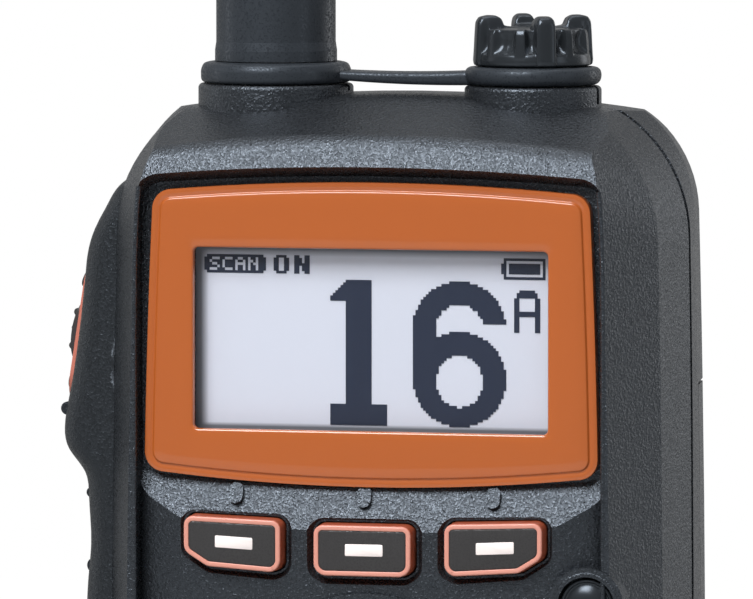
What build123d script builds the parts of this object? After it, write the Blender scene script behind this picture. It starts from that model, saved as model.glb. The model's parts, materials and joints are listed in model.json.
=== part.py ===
from build123d import *
from collections import namedtuple
from math import cos, radians, sin, sqrt
import os

# Handheld marine VHF radio. Millimetres. The origin is the middle of the case's flat bottom,
# +Z runs up along the antenna, the display faces -Y and +X is to the right of someone reading it.

# ---------------------------------------------------------------- driving dimensions
BODY_HEIGHT = 138.0
FRONT_Y = -19.0            # crest of the side rails
BACK_Y = 19.0              # back of the battery
PARTING_Y = -1.0           # front case meets rear case
WALL = 2.2
FLOOR_Y = -16.0            # floor of the display recess
CAVITY_Y = -13.8           # front of the inner space, behind that floor
PANEL_Y = -18.7            # crown of the keypad panel
PANEL_INNER_Y = -16.4      # back of the keypad panel
PANEL_POCKET_HALF = 24.0
LEDGE_TOP_Z = 95.6         # a sloping ledge under the bezel, from here ...
LEDGE_FOOT_Z = 89.4        # ... down to the keypad panel
RECESS_FOOT_Z = 7.0
RECESS_HEAD_Z = 129.3      # top of the sunk front at its floor; at the crest it is RECESS_FLARE_Z higher
RECESS_FLARE_Z = 1.4
RECESS_ARCH = 1.1
RECESS_FLOOR_HALF = 26.75
RECESS_CREST_HALF = 27.0
CREST_FOOT = (FRONT_Y, 130.15)   # side profile (Y, Z): lower edge of the brow over the display ...
CREST_HEAD = (-17.2, 133.75)     # ... its upper edge, where the sloping top begins ...
TOP_FRONT = (-4.5, BODY_HEIGHT)  # ... and where that slope ends
TOP_BACK = (9.0, BODY_HEIGHT)
SHOULDER_BACK_Z = 131.0
CROWN_RADIUS = 190.0       # the top is crowned from side to side
CROWN_SWING = 45
SEAM_GROOVE = 0.45         # depth of the groove along the parting
SEAM_GROOVE_HALF = 0.4
FAR = 40.0                 # half width of the boxes that cut the case right across

TOWER_X = 15.05            # antenna at -TOWER_X, accessory jack at +TOWER_X
BOSS_TOP_Z = 139.0
BOSS_FOOT_Z = 128.6
ANTENNA_BOSS_R = 8.9
JACK_BOSS_R = 7.8
SOCKET_R = 6.2             # outside of the threaded sockets
SOCKET_FOOT_Z = 131.0
THREAD_R = 4.6             # necks of the antenna and of the jack cap
BORE_R = 4.68              # their sockets
NECK_FOOT_Z = 134.4
SEAL_GROOVE_R = 3.95
SEAL_LOW_Z = 136.4
SEAL_HEIGHT = 1.1

STRAP_Z = 139.05           # underside of both rings of the tether
ANTENNA_RING_R = 8.6
JACK_RING_R = 7.8
RING_HOLE_R = 5.0
ANTENNA_RING_HEIGHT = 2.45
JACK_RING_HEIGHT = 2.1
STRAP_THICKNESS = 1.5
STRAP_WIDTH = 5.6

ANTENNA_R = 6.85
ANTENNA_TIP_R = 4.9
ANTENNA_FOOT_Z = 141.6
ANTENNA_TAPER_Z = 168.0
ANTENNA_TOP_Z = 290.0
ANTENNA_BORE_R = 3.6
CAP_FOOT_Z = 141.25
CAP_R = 6.5
CAP_DECK_Z = 145.5
FIN_TOP_Z = 146.95
FIN_WIDTH = 2.3
FIN_INNER_R = 3.6
FIN_OUTER_R = 6.65
FIN_TURN = -64.6           # direction of the first fin, counted from +X

BEZEL_FOOT_HALF = 26.25
BEZEL_HEAD_HALF = 25.2
BEZEL_FOOT_Z = 94.25
BEZEL_HEAD_Z = 128.7
BEZEL_FOOT_ARCH = 1.3
BEZEL_HEAD_ARCH = 1.0
BEZEL_RADIUS = 2.3
BEZEL_FACE_Y = -17.6
BEZEL_GAP = 0.1
WINDOW_HALF = 20.45
WINDOW_LOW_Z = 100.62
WINDOW_HIGH_Z = 121.15
LCD_Y = -15.0
LCD_HALF = 23.0
LCD_LOW_Z = 98.2
LCD_HIGH_Z = 124.6

SOFT_KEY_WIDTH = 11.2
SOFT_KEY_HEIGHT = 5.7
SOFT_KEY_X = 15.05         # pitch of the row ...
SOFT_KEY_SHIFT = -0.33     # ... and how far its middle key is from the middle of the case
SOFT_KEY_Z = 87.9
SOFT_KEY_MIDDLE_DROP = 0.55
SOFT_KEY_SLOPES = (0.035, 0.07)  # rise of the outer keys' head and foot, away from the middle key
SOFT_KEY_FACE_Y = -20.0
KEY_FACE_Y = -19.6
KEY_GAP = 0.25
KEY_TRAVEL = 0.7
MOAT = 0.5                 # width of the dished margin round a soft key, at its bottom
MOAT_Y = -17.8
MOAT_FLARE = -32.0
MARKER_X = 14.85           # ribs on the ledge, one over each soft key
MARKER_SHIFT = -0.65
POWER_X = 25.2
POWER_Z = 81.7
POWER_R = 3.0
POWER_GUARD_R = 4.3
NAV_Z = 67.6
NAV_R = 13.4
NAV_SPLIT = 1.0
NAV_CORE_R = 5.4
SIDE_KEY_X = 19.5
SIDE_KEY_WIDTH = 7.6
SIDE_KEY_HEIGHT = 6.0
SIDE_KEY_ROWS = {"key_16": (-1, 72.0), "key_clear": (-1, 61.5),
                 "key_menu": (1, 72.0), "key_scan": (1, 61.5)}
SPEAKER_Z = 29.0
SPEAKER_R = 17.5
SLOT_PITCH = 4.4
SLOT_LENGTHS = (20.0, 29.0, 33.0, 33.0, 29.0, 20.0)
MIC_X = 13.0
MIC_Z = 49.5

BAY_Y = 5.0                # floor of the battery bay
BAY_FOOT_Z = 9.0
BAY_HEAD_Z = 105.0
BATTERY_GAP = 0.3
SCREW_X = 26.0
SCREW_ROWS_Z = (14.0, 97.0)
SHELF_LOW_Z = 125.6        # bulkhead under the two sockets
SHELF_HIGH_Z = 128.4

PAD_FRONT_Y = -11.0        # grip pad on the left flank
PAD_BACK_Y = 9.0
KEY_SLOPE = 8.9            # degrees by which the pad leans out where the side keys are
SIDE_KEYS_AT = (-35.85, -1.0, 110.85)
PAD_LINE = [               # outer face of the pad (X, Z), from its head down
    (-30.6, 128.2), (-33.2, 125.0), (-34.15, 123.2), (-34.75, 121.6), (-35.25, 119.8), (-35.5, 117.8),
    (-36.05, 112.5), (-36.85, 106.6), (-37.55, 103.0), (-38.0, 100.6), (-38.05, 98.8), (-37.7, 97.5),
    (-36.8, 96.3), (-35.7, 94.8), (-35.25, 92.8), (-35.1, 90.0), (-34.9, 87.0), (-35.4, 81.0),
    (-35.7, 74.0), (-35.6, 60.0), (-35.3, 46.0), (-34.6, 37.0), (-33.0, 33.0),
]
PAD_INNER_X = -24.0
PAD_SECTIONS = 35          # evenly spaced, so that the loft through them doesn't swing out
PAD_ROUND = 3.4            # its front and back edges
PAD_RIBS = [               # grip ribs across the pad: axis X and height, radius
    (-37.75, 101.8, 0.75), (-34.9, 92.2, 0.6), (-34.55, 83.8, 0.9), (-35.2, 76.5, 0.9),
    (-35.3, 69.0, 0.9), (-35.2, 61.5, 0.9), (-35.1, 54.0, 0.9), (-34.9, 46.5, 0.9),
]
PAD_RIB_LENGTH = 14.0
FRAME_LENGTH = 17.6
FRAME_WIDTH = 13.0
FRAME_PROUD = 0.9
SIDE_TRAVEL = 0.5
# side keys: distance up the slope, length along it, width, height above the frame's seat, then
# radius of the arched back and how far below the key's middle it peaks
SIDE_KEYS = {"ptt_button": (-0.45, 8.5, 9.6, 1.9, 10.0, 0.1),
             "side_key_upper": (5.75, 2.4, 7.6, 1.8, 3.4, 0.9),
             "side_key_lower": (-6.4, 2.0, 7.0, 1.7, 2.6, 0.0)}
PTT_RIBS = (-1.9, 0.15, 2.0)
PTT_RIB_R = 0.45
STEM_OFFSET = 2.2
STEM_R = 1.0
STEM_HOLE_R = 1.1
STEM_LENGTH = 6.0
SWITCH_DEPTH = 3.8

EYE_X = -22.0              # strap eye
EYE_Y = 21.0
EYE_Z = 119.0
EYE_R = 1.6
EYE_WIDTH = 3.5

CLIP_PIN_Y = 25.4
CLIP_PIN_Z = 119.0
CLIP_PIN_R = 1.0
CLIP_ARM_Y = 24.4
CLIP_ARM_THICK = 2.0
LATCH_PIN_Y = 16.2
LATCH_PIN_Z = 6.0
LATCH_PIN_R = 0.8
LATCH_HALF = 10.0
FIT = 0.05                 # running clearance, and play between nested pieces

# ---------------------------------------------------------------- shapes used more than once
Station = namedtuple("Station", "y foot_half wide_half head_half foot head head_radius foot_radius")
WIDEST_Z = 70.0
FRONT_STATIONS = [
    Station(FRONT_Y - 1.0, 26.9, 27.5, 25.9, 2.7, 138.2, 14.0, 7.0),
    Station(-10.0, 31.4, 32.2, 31.1, 0.0, 138.6, 16.9, 8.0),
    Station(PARTING_Y, 33.1, 33.95, 33.1, 0.0, 138.7, 16.9, 8.5),
]
REAR_STATIONS = [
    FRONT_STATIONS[-1],
    Station(4.0, 33.1, 33.8, 32.6, 0.0, 139.0, 14.5, 8.5),
    Station(12.0, 32.1, 32.9, 31.6, 0.0, 138.4, 14.4, 8.5),
    Station(BACK_Y + 1.0, 27.4, 28.2, 26.6, 2.4, 134.0, 14.0, 8.0),
]
PROFILE_RADII = (1.0, 2.6, 14.0, 9.0, 6.0)   # of the side profile, from the brow's foot to the back
SEAM_STATION = FRONT_STATIONS[-1]
FOOT_RADIUS = 2.4          # front and back edges of the flat bottom
SEAL_STATION = Station(PARTING_Y, 33.3, 34.15, 33.2, 0.0, 128.6, 4.0, 8.5)


def plan(y):
    """Plane that faces the reader at depth y; extruding from it comes forward."""
    return Plane.XZ.offset(-y)


def case_outline(station, inset=0.0):
    """Outline of the case at one depth, drawn in by inset."""
    foot = station.foot + inset
    head = station.head - inset
    with BuildSketch() as outline:
        with BuildLine():
            Polyline(
                (-station.head_half + inset, head),
                (station.head_half - inset, head),
            )
            for side in (-1, 1):
                ThreePointArc(
                    (side * (station.head_half - inset), head),
                    (side * (station.wide_half - inset), WIDEST_Z),
                    (side * (station.foot_half - inset), foot),
                )
            Polyline((station.foot_half - inset, foot), (-station.foot_half + inset, foot))
        make_face()
        fillet(outline.vertices().group_by(Axis.Y)[0], station.foot_radius - inset / 2)
        fillet(outline.vertices().group_by(Axis.Y)[-1], station.head_radius - inset / 2)
    return outline.sketch


def case_form(stations, inset=0.0):
    """Outer form of half the case: stations joined by ruled flanks, cut by the side profile."""
    with BuildPart() as form:
        for station in stations:
            with BuildSketch(plan(station.y)):
                add(case_outline(station, inset))
        loft(ruled=True)
        # front, back and foot
        with BuildSketch(Plane.YZ):
            with Locations(((FRONT_Y + BACK_Y) / 2, BODY_HEIGHT / 2 + inset)):
                RectangleRounded(BACK_Y - FRONT_Y - 2 * inset, BODY_HEIGHT, FOOT_RADIUS)
            with Locations(((FRONT_Y + BACK_Y) / 2, BODY_HEIGHT)):
                Rectangle(BACK_Y - FRONT_Y - 2 * inset, BODY_HEIGHT)
        extrude(amount=FAR, both=True, mode=Mode.INTERSECT)
        # brow, sloping top and shoulder, swung round an axis far below the top
        pivot_z = BODY_HEIGHT - CROWN_RADIUS
        turn = radians(CROWN_SWING)
        start = Plane(origin=(0, 0, pivot_z), x_dir=(0, 1, 0), z_dir=(cos(turn), 0, sin(turn)))
        with BuildSketch(start):
            with BuildLine():
                lift = CROWN_RADIUS - BODY_HEIGHT - inset
                FilletPolyline(
                    (CREST_FOOT[0] + inset, CREST_FOOT[1] + lift),
                    (CREST_HEAD[0] + inset, CREST_HEAD[1] + lift),
                    (TOP_FRONT[0], TOP_FRONT[1] + lift),
                    (TOP_BACK[0], TOP_BACK[1] + lift),
                    (BACK_Y - inset, SHOULDER_BACK_Z + lift),
                    (BACK_Y - inset, 20),
                    (CREST_FOOT[0] + inset, 20),
                    radius=(PROFILE_RADII[0], PROFILE_RADII[1], PROFILE_RADII[2], PROFILE_RADII[3],
                            PROFILE_RADII[4], 1, 1),
                    close=True,
                )
            make_face()
        revolve(axis=Axis((0, 0, pivot_z), (0, 1, 0)), revolution_arc=2 * CROWN_SWING, mode=Mode.INTERSECT)
    return form.part


def block(low, high, mode=Mode.ADD):
    """Box between two opposite corners."""
    size = [top - bottom for bottom, top in zip(low, high)]
    middle = [(top + bottom) / 2 for bottom, top in zip(low, high)]
    with Locations(tuple(middle)):
        Box(*size, mode=mode)


def post(x, z, radius, y_front, y_back, mode=Mode.ADD):
    """Cylinder along Y between two depths."""
    with Locations(Location((x, (y_front + y_back) / 2, z), (90, 0, 0))):
        Cylinder(radius, y_back - y_front, mode=mode)


def upright(x, y, radius, z_low, z_high, mode=Mode.ADD):
    """Cylinder along Z between two heights."""
    with Locations((x, y, (z_low + z_high) / 2)):
        Cylinder(radius, z_high - z_low, mode=mode)


def plate(outline, y_front, y_back):
    """Solid with a given outline, between two depths."""
    with BuildPart() as part:
        with BuildSketch(plan(y_back)):
            add(outline)
        extrude(amount=y_back - y_front)
    return part.part


def rounded_rectangle(x_low, x_high, z_low, z_high, radius):
    """Rectangle with round corners, between given edges."""
    with BuildSketch() as outline:
        with Locations(((x_low + x_high) / 2, (z_low + z_high) / 2)):
            RectangleRounded(x_high - x_low, z_high - z_low, radius)
    return outline.sketch


def bezel_outline(gap=0.0):
    """Outline of the bezel, let out by gap: arched head and foot, sides that close in upwards."""
    foot = BEZEL_FOOT_Z + BEZEL_FOOT_ARCH
    head = BEZEL_HEAD_Z - BEZEL_HEAD_ARCH
    with BuildSketch() as outline:
        with BuildLine():
            ThreePointArc((-BEZEL_FOOT_HALF, foot), (0, BEZEL_FOOT_Z), (BEZEL_FOOT_HALF, foot))
            Line((BEZEL_FOOT_HALF, foot), (BEZEL_HEAD_HALF, head))
            ThreePointArc((BEZEL_HEAD_HALF, head), (0, BEZEL_HEAD_Z), (-BEZEL_HEAD_HALF, head))
            Line((-BEZEL_HEAD_HALF, head), (-BEZEL_FOOT_HALF, foot))
        make_face()
        fillet(outline.vertices(), BEZEL_RADIUS)
        if gap:
            offset(amount=gap)
    return outline.sketch


def soft_key_centre(side):
    """Middle of a soft key's face (x, z)."""
    return side * SOFT_KEY_X + SOFT_KEY_SHIFT, SOFT_KEY_Z - (0.0 if side else SOFT_KEY_MIDDLE_DROP)


def soft_key_face(side, grow=0.0):
    """Soft key seen from the front: its lower outer corner is cut off slantwise."""
    half_width = SOFT_KEY_WIDTH / 2
    half_height = SOFT_KEY_HEIGHT / 2
    left = 1.0 if side < 0 else 0.4
    right = 1.0 if side > 0 else 0.4
    x, z = soft_key_centre(side)
    corners = [
        (-half_width, half_height),
        (-half_width, -half_height + 1.5 * left),
        (-half_width + 2.7 * left, -half_height),
        (half_width - 2.7 * right, -half_height),
        (half_width, -half_height + 1.5 * right),
        (half_width, half_height),
    ]
    with BuildSketch() as key:
        with BuildLine():
            Polyline(
                [(x + dx, z + dz + side * SOFT_KEY_SLOPES[dz < 0] * dx) for dx, dz in corners], close=True
            )
        make_face()
        fillet(key.vertices(), 0.9)
        if grow:
            offset(amount=grow, mode=Mode.REPLACE)
    return key.sketch


def side_key_face(side, z, grow=0.0):
    """Rounded key left or right of the arrow keys."""
    x = side * SIDE_KEY_X
    reach_x = SIDE_KEY_WIDTH / 2 + grow
    reach_z = SIDE_KEY_HEIGHT / 2 + grow
    return rounded_rectangle(x - reach_x, x + reach_x, z - reach_z, z + reach_z, 2.2 + grow)


def arrow_key_face(direction, grow=0.0):
    """Quarter of a ring round NAV_Z, pointing in a direction given in degrees."""
    with BuildSketch() as key:
        with Locations((0, NAV_Z)):
            Circle(NAV_R + grow)
            Circle(NAV_CORE_R - grow, mode=Mode.SUBTRACT)
        reach = 2 * NAV_R
        setback = (NAV_SPLIT / 2 - grow) * sqrt(2)
        turn, left, right = (radians(direction + swing) for swing in (0, 45, -45))
        start = (setback * cos(turn), NAV_Z + setback * sin(turn))
        with BuildLine():
            Polyline(
                start,
                (start[0] + reach * cos(left), start[1] + reach * sin(left)),
                (2 * reach * cos(turn), NAV_Z + 2 * reach * sin(turn)),
                (start[0] + reach * cos(right), start[1] + reach * sin(right)),
                close=True,
            )
        make_face(mode=Mode.INTERSECT)
        fillet(key.vertices(), 0.8)
    return key.sketch


def key_cap(outline, flange, face_y=KEY_FACE_Y, crown=0.35):
    """Key: a cap that stands out of its hole, with a wider flange behind the panel."""
    with BuildPart() as cap:
        add(plate(outline, face_y, PANEL_INNER_Y + 0.2))
        chamfer(cap.faces().sort_by(Axis.Y)[0].edges(), crown)
        add(plate(flange, PANEL_INNER_Y + FIT, PANEL_INNER_Y + 0.8))
    return cap.part


def tower_half(front):
    """Half of the two round bosses on top of the case, in front of or behind the parting."""
    with BuildPart() as towers:
        upright(-TOWER_X, 0, ANTENNA_BOSS_R, BOSS_FOOT_Z, BOSS_TOP_Z)
        upright(TOWER_X, 0, JACK_BOSS_R, BOSS_FOOT_Z, BOSS_TOP_Z)
        fillet(towers.faces().sort_by(Axis.Z)[-2:].edges(), 0.5)
        if front:
            block((-FAR, PARTING_Y, 120), (FAR, 20, 150), mode=Mode.SUBTRACT)
        else:
            block((-FAR, -20, 120), (FAR, PARTING_Y, 150), mode=Mode.SUBTRACT)
    return towers.part


def seam_loop(inner, outer, y_front, y_back):
    """Closed cord or groove along the parting, between two insets from the outline."""
    with BuildPart() as loop:
        with BuildSketch(plan(y_back)):
            add(case_outline(SEAL_STATION, inner))
            add(case_outline(SEAL_STATION, outer), mode=Mode.SUBTRACT)
        extrude(amount=y_back - y_front)
    return loop.part


def seam_groove():
    """Ring that cuts a narrow groove round the case, on both sides of the parting."""
    with BuildPart() as ring:
        with BuildSketch(plan(PARTING_Y + SEAM_GROOVE_HALF)):
            add(case_outline(SEAM_STATION, -3))
            add(case_outline(SEAM_STATION, SEAM_GROOVE), mode=Mode.SUBTRACT)
        extrude(amount=2 * SEAM_GROOVE_HALF)
    return ring.part


def finish(builder, name):
    """Label a finished piece and write it to its own file."""
    builder.part.label = name
    export_step(builder.part, f"parts/{name}.step")


os.makedirs("parts", exist_ok=True)

front_form = case_form(FRONT_STATIONS)
rear_form = case_form(REAR_STATIONS)
seam_ring = seam_groove()

# ---------------------------------------------------------------- left flank
SLOPE = Plane(
    origin=SIDE_KEYS_AT,
    x_dir=(0, -1, 0),
    z_dir=(-cos(radians(KEY_SLOPE)), 0, sin(radians(KEY_SLOPE))),
)


def slope_box(up, length, width, low, high):
    """Box on the side-key slope: distance up it, length along it, width, and two heights."""
    with BuildPart() as part:
        with BuildSketch(SLOPE.offset(low)):
            with Locations((0, up)):
                RectangleRounded(width, length, min(length, width) * 0.3)
        extrude(amount=high - low)
    return part.part


with BuildPart() as stem_drill:
    with BuildSketch(SLOPE.offset(2)):
        with Locations(*[(STEM_OFFSET, key[0]) for key in SIDE_KEYS.values()]):
            Circle(STEM_HOLE_R)
    extrude(amount=-2 * STEM_LENGTH)
stem_holes = stem_drill.part
key_well = slope_box(0, FRAME_LENGTH + 0.1, FRAME_WIDTH + 0.1, -1.0, 6)

# ---------------------------------------------------------------- front case
RECESS_FRONT_Y = FRONT_Y - 0.4


def recess_outline(half, head, radius):
    """Outline of the sunk front between the rails, arched at its head."""
    spring = head - RECESS_ARCH
    with BuildSketch() as outline:
        with BuildLine():
            Polyline((-half, spring), (-half, RECESS_FOOT_Z), (half, RECESS_FOOT_Z), (half, spring))
            ThreePointArc((half, spring), (0, head), (-half, spring))
        make_face()
        fillet(outline.vertices().group_by(Axis.Y)[-1], radius)
        fillet(outline.vertices().group_by(Axis.Y)[0], radius + 1.5)
    return outline.sketch


with BuildPart() as keypad_panel:
    with BuildSketch(Plane.XY.offset(RECESS_FOOT_Z - 0.5)):
        with BuildLine():
            ThreePointArc((-20.5, PANEL_Y + 0.35), (0, PANEL_Y), (20.5, PANEL_Y + 0.35))
            Spline(
                (20.5, PANEL_Y + 0.35),
                (24.2, PANEL_Y + 1.1),
                (27.1, FLOOR_Y - 0.3),
                tangents=((1, 0.03), (0.8, 1.0)),
            )
            Polyline((27.1, FLOOR_Y - 0.3), (27.1, CAVITY_Y), (-27.1, CAVITY_Y), (-27.1, FLOOR_Y - 0.3))
            Spline(
                (-27.1, FLOOR_Y - 0.3),
                (-24.2, PANEL_Y + 1.1),
                (-20.5, PANEL_Y + 0.35),
                tangents=((0.8, -1.0), (1, -0.03)),
            )
        make_face()
    extrude(amount=LEDGE_TOP_Z + 2 - RECESS_FOOT_Z)
    with BuildSketch(Plane.YZ):
        with BuildLine():
            rise = (LEDGE_TOP_Z - LEDGE_FOOT_Z) / (FLOOR_Y - PANEL_Y)
            Polyline(
                (PANEL_Y - 4, LEDGE_FOOT_Z - 4 * rise),
                (FLOOR_Y, LEDGE_TOP_Z),
                (CAVITY_Y + 1, LEDGE_TOP_Z + 0.2),
                (CAVITY_Y + 1, LEDGE_TOP_Z + 9),
                (PANEL_Y - 4, LEDGE_TOP_Z + 9),
                close=True,
            )
        make_face()
    extrude(amount=FAR, both=True, mode=Mode.SUBTRACT)

LEDGE = Plane(
    origin=(0, (FLOOR_Y + PANEL_Y) / 2, (LEDGE_TOP_Z + LEDGE_FOOT_Z) / 2),
    x_dir=(1, 0, 0),
    z_dir=(0, LEDGE_FOOT_Z - LEDGE_TOP_Z, FLOOR_Y - PANEL_Y),
)

with BuildPart() as front_cavity:
    add(case_form(FRONT_STATIONS, WALL))
    block((-FAR, FRONT_Y - 2, -1), (FAR, CAVITY_Y, 140), mode=Mode.SUBTRACT)
    block((-FAR, CAVITY_Y - 1, SHELF_LOW_Z), (FAR, PARTING_Y + 1, 140), mode=Mode.SUBTRACT)
    block((-PANEL_POCKET_HALF, PANEL_INNER_Y, 9.5), (PANEL_POCKET_HALF, CAVITY_Y + 0.5, 93.0))
    for side in (-1, 1):
        for z in SCREW_ROWS_Z:
            post(side * SCREW_X, z, 2.9, CAVITY_Y - 1, 0, mode=Mode.SUBTRACT)
        block(
            (side * 26 - 4.6, -11.6, 24), (side * 26 + 4.6, -9.25, 88), mode=Mode.SUBTRACT
        )

with BuildPart() as front_case:
    add(front_form)
    add(tower_half(front=True))
    with BuildSketch(plan(FLOOR_Y)):
        add(recess_outline(RECESS_FLOOR_HALF, RECESS_HEAD_Z, 2.6))
    with BuildSketch(plan(RECESS_FRONT_Y)):
        add(recess_outline(RECESS_CREST_HALF, RECESS_HEAD_Z + RECESS_FLARE_Z, 3.0))
    loft(ruled=True, mode=Mode.SUBTRACT)
    add(keypad_panel.part)
    add(front_cavity.part, mode=Mode.SUBTRACT)
    # guard ring of the power key, half on the panel and half on the flank
    post(POWER_X, POWER_Z, POWER_GUARD_R, FRONT_Y - 0.3, CAVITY_Y)
    post(POWER_X, POWER_Z, POWER_R + KEY_GAP, FRONT_Y - 1, -16.6, mode=Mode.SUBTRACT)
    post(POWER_X, POWER_Z, 1.5, -17, -12, mode=Mode.SUBTRACT)
    # display hole and sockets
    block(
        (-LCD_HALF - 0.2, FLOOR_Y - 1, LCD_LOW_Z - 0.2), (LCD_HALF + 0.2, CAVITY_Y + 1, LCD_HIGH_Z + 0.2),
        mode=Mode.SUBTRACT,
    )
    for side in (-1, 1):
        upright(side * TOWER_X, 0, SOCKET_R + FIT, SOCKET_FOOT_Z - 0.1, 150, mode=Mode.SUBTRACT)
        upright(side * TOWER_X, -3.6, 1.6, SHELF_LOW_Z - 1, SOCKET_FOOT_Z + 1, mode=Mode.SUBTRACT)
        for z in SCREW_ROWS_Z:
            post(side * SCREW_X, z, 1.2, -9, 0, mode=Mode.SUBTRACT)
    # three marker ribs on the ledge, one over each soft key
    with BuildSketch(LEDGE.offset(-0.3)):
        with Locations(*[(side * MARKER_X + MARKER_SHIFT, 0.6 + 0.2 * side ** 2) for side in (-1, 0, 1)]):
            SlotOverall(2.5, 1.6, rotation=90)
    extrude(amount=0.85)
    # the bezel stands in the ledge
    add(plate(bezel_outline(BEZEL_GAP), FRONT_Y, FLOOR_Y), mode=Mode.SUBTRACT)
    # sunk margins and holes of the keys
    for side in (-1, 0, 1):
        with BuildSketch(plan(MOAT_Y)):
            add(soft_key_face(side, MOAT))
        extrude(amount=MOAT_Y - FRONT_Y + 1, taper=MOAT_FLARE, mode=Mode.SUBTRACT)
        add(plate(soft_key_face(side, KEY_GAP), FRONT_Y - 2, CAVITY_Y), mode=Mode.SUBTRACT)
    for side, z in SIDE_KEY_ROWS.values():
        add(plate(side_key_face(side, z, KEY_GAP), FRONT_Y - 2, CAVITY_Y), mode=Mode.SUBTRACT)
    # collar round the arrow keys
    with BuildSketch(plan(PANEL_Y + 1)):
        with Locations((0, NAV_Z)):
            Circle(NAV_R + 1.5)
            Circle(NAV_R - 1, mode=Mode.SUBTRACT)
    extrude(amount=1.5)
    for direction in (0, 90, 180, 270):
        add(plate(arrow_key_face(direction, KEY_GAP), FRONT_Y - 2, CAVITY_Y), mode=Mode.SUBTRACT)
    # speaker slots and microphone hole
    for row, length in enumerate(SLOT_LENGTHS):
        z = SPEAKER_Z + (row - (len(SLOT_LENGTHS) - 1) / 2) * SLOT_PITCH
        add(
            plate(rounded_rectangle(-length / 2, length / 2, z - 0.9, z + 0.9, 0.88), -22, CAVITY_Y),
            mode=Mode.SUBTRACT,
        )
    post(MIC_X, MIC_Z, 0.7, -22, CAVITY_Y, mode=Mode.SUBTRACT)
    add(seam_ring, mode=Mode.SUBTRACT)
    add(key_well, mode=Mode.SUBTRACT)
    add(stem_holes, mode=Mode.SUBTRACT)
finish(front_case, "front_case")

# ---------------------------------------------------------------- rear case
with BuildPart() as rear_cavity:
    add(case_form(REAR_STATIONS, WALL))
    block((-FAR, BAY_Y - WALL + 0.2, -1), (FAR, 30, BAY_HEAD_Z + WALL), mode=Mode.SUBTRACT)
    block((-FAR, -2, SHELF_LOW_Z), (FAR, 6.5, 140), mode=Mode.SUBTRACT)
    block((-FAR, -2, SHELF_HIGH_Z + 2), (FAR, 30, 140), mode=Mode.SUBTRACT)
    for x in (-4.5, 4.5):
        post(x, 112.0, 2.5, 8, 20, mode=Mode.SUBTRACT)

with BuildPart() as rear_case:
    add(rear_form)
    add(tower_half(front=False))
    add(rear_cavity.part, mode=Mode.SUBTRACT)
    block((-FAR, BAY_Y, BAY_FOOT_Z), (FAR, 30, BAY_HEAD_Z), mode=Mode.SUBTRACT)
    # strap eye on the back
    with BuildSketch(Plane.YZ.offset(EYE_X - EYE_WIDTH / 2)):
        with Locations((BACK_Y + 0.6, EYE_Z)):
            RectangleRounded(7.6, 11, 2.6)
        with Locations((BACK_Y - 4.2, EYE_Z)):
            Rectangle(5, 12, mode=Mode.SUBTRACT)
    extrude(amount=EYE_WIDTH)
    with Locations(Location((EYE_X, EYE_Y, EYE_Z), (0, 90, 0))):
        Cylinder(EYE_R, EYE_WIDTH + 2, mode=Mode.SUBTRACT)
    for side in (-1, 1):
        upright(side * TOWER_X, 0, SOCKET_R + FIT, SOCKET_FOOT_Z - 0.1, 150, mode=Mode.SUBTRACT)
        for z in SCREW_ROWS_Z:
            post(side * SCREW_X, z, 1.3, -2, 6, mode=Mode.SUBTRACT)
            post(side * SCREW_X, z, 2.5, BAY_Y - 1.3, 6, mode=Mode.SUBTRACT)
    for x in (-4.5, 4.5):
        post(x, 112.0, 1.2, 11, 20, mode=Mode.SUBTRACT)
    # pocket of the battery latch
    block((-LATCH_HALF - 0.4, 12.6, 1.6), (LATCH_HALF + 0.4, 21, 10), mode=Mode.SUBTRACT)
    with Locations(Location((0, LATCH_PIN_Y, LATCH_PIN_Z), (0, 90, 0))):
        Cylinder(LATCH_PIN_R, 2 * LATCH_HALF + 8, mode=Mode.SUBTRACT)
    # spring contacts, seal groove and side-key well
    for x in (-6, -2, 2, 6):
        post(x, 16, 0.75, 2, 6, mode=Mode.SUBTRACT)
    add(seam_loop(0.65, 1.6, PARTING_Y - 0.1, PARTING_Y + 1.05), mode=Mode.SUBTRACT)
    add(seam_ring, mode=Mode.SUBTRACT)
    add(key_well, mode=Mode.SUBTRACT)
finish(rear_case, "rear_case")

with BuildPart() as case_seal:
    add(seam_loop(0.7, 1.55, PARTING_Y, PARTING_Y + 1.0))
finish(case_seal, "case_seal")

with BuildPart() as case_screws:
    for side in (-1, 1):
        for z in SCREW_ROWS_Z:
            post(side * SCREW_X, z, 1.18, -8.8, BAY_Y - 1.2)
            post(side * SCREW_X, z, 2.3, BAY_Y - 1.28, BAY_Y - 0.2)
            with BuildSketch(plan(BAY_Y)):
                with Locations((side * SCREW_X, z)):
                    Rectangle(2.8, 0.6)
                    Rectangle(0.6, 2.8)
            extrude(amount=0.8, mode=Mode.SUBTRACT)
finish(case_screws, "case_screws")

# ---------------------------------------------------------------- grip pad and side keys
def pad_face(z):
    """X of the pad's outer face at a height, on straight lines between the points of PAD_LINE."""
    for (x_high, z_high), (x_low, z_low) in zip(PAD_LINE, PAD_LINE[1:]):
        if z >= z_low:
            return x_low + (x_high - x_low) * (z - z_low) / (z_high - z_low)


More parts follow.
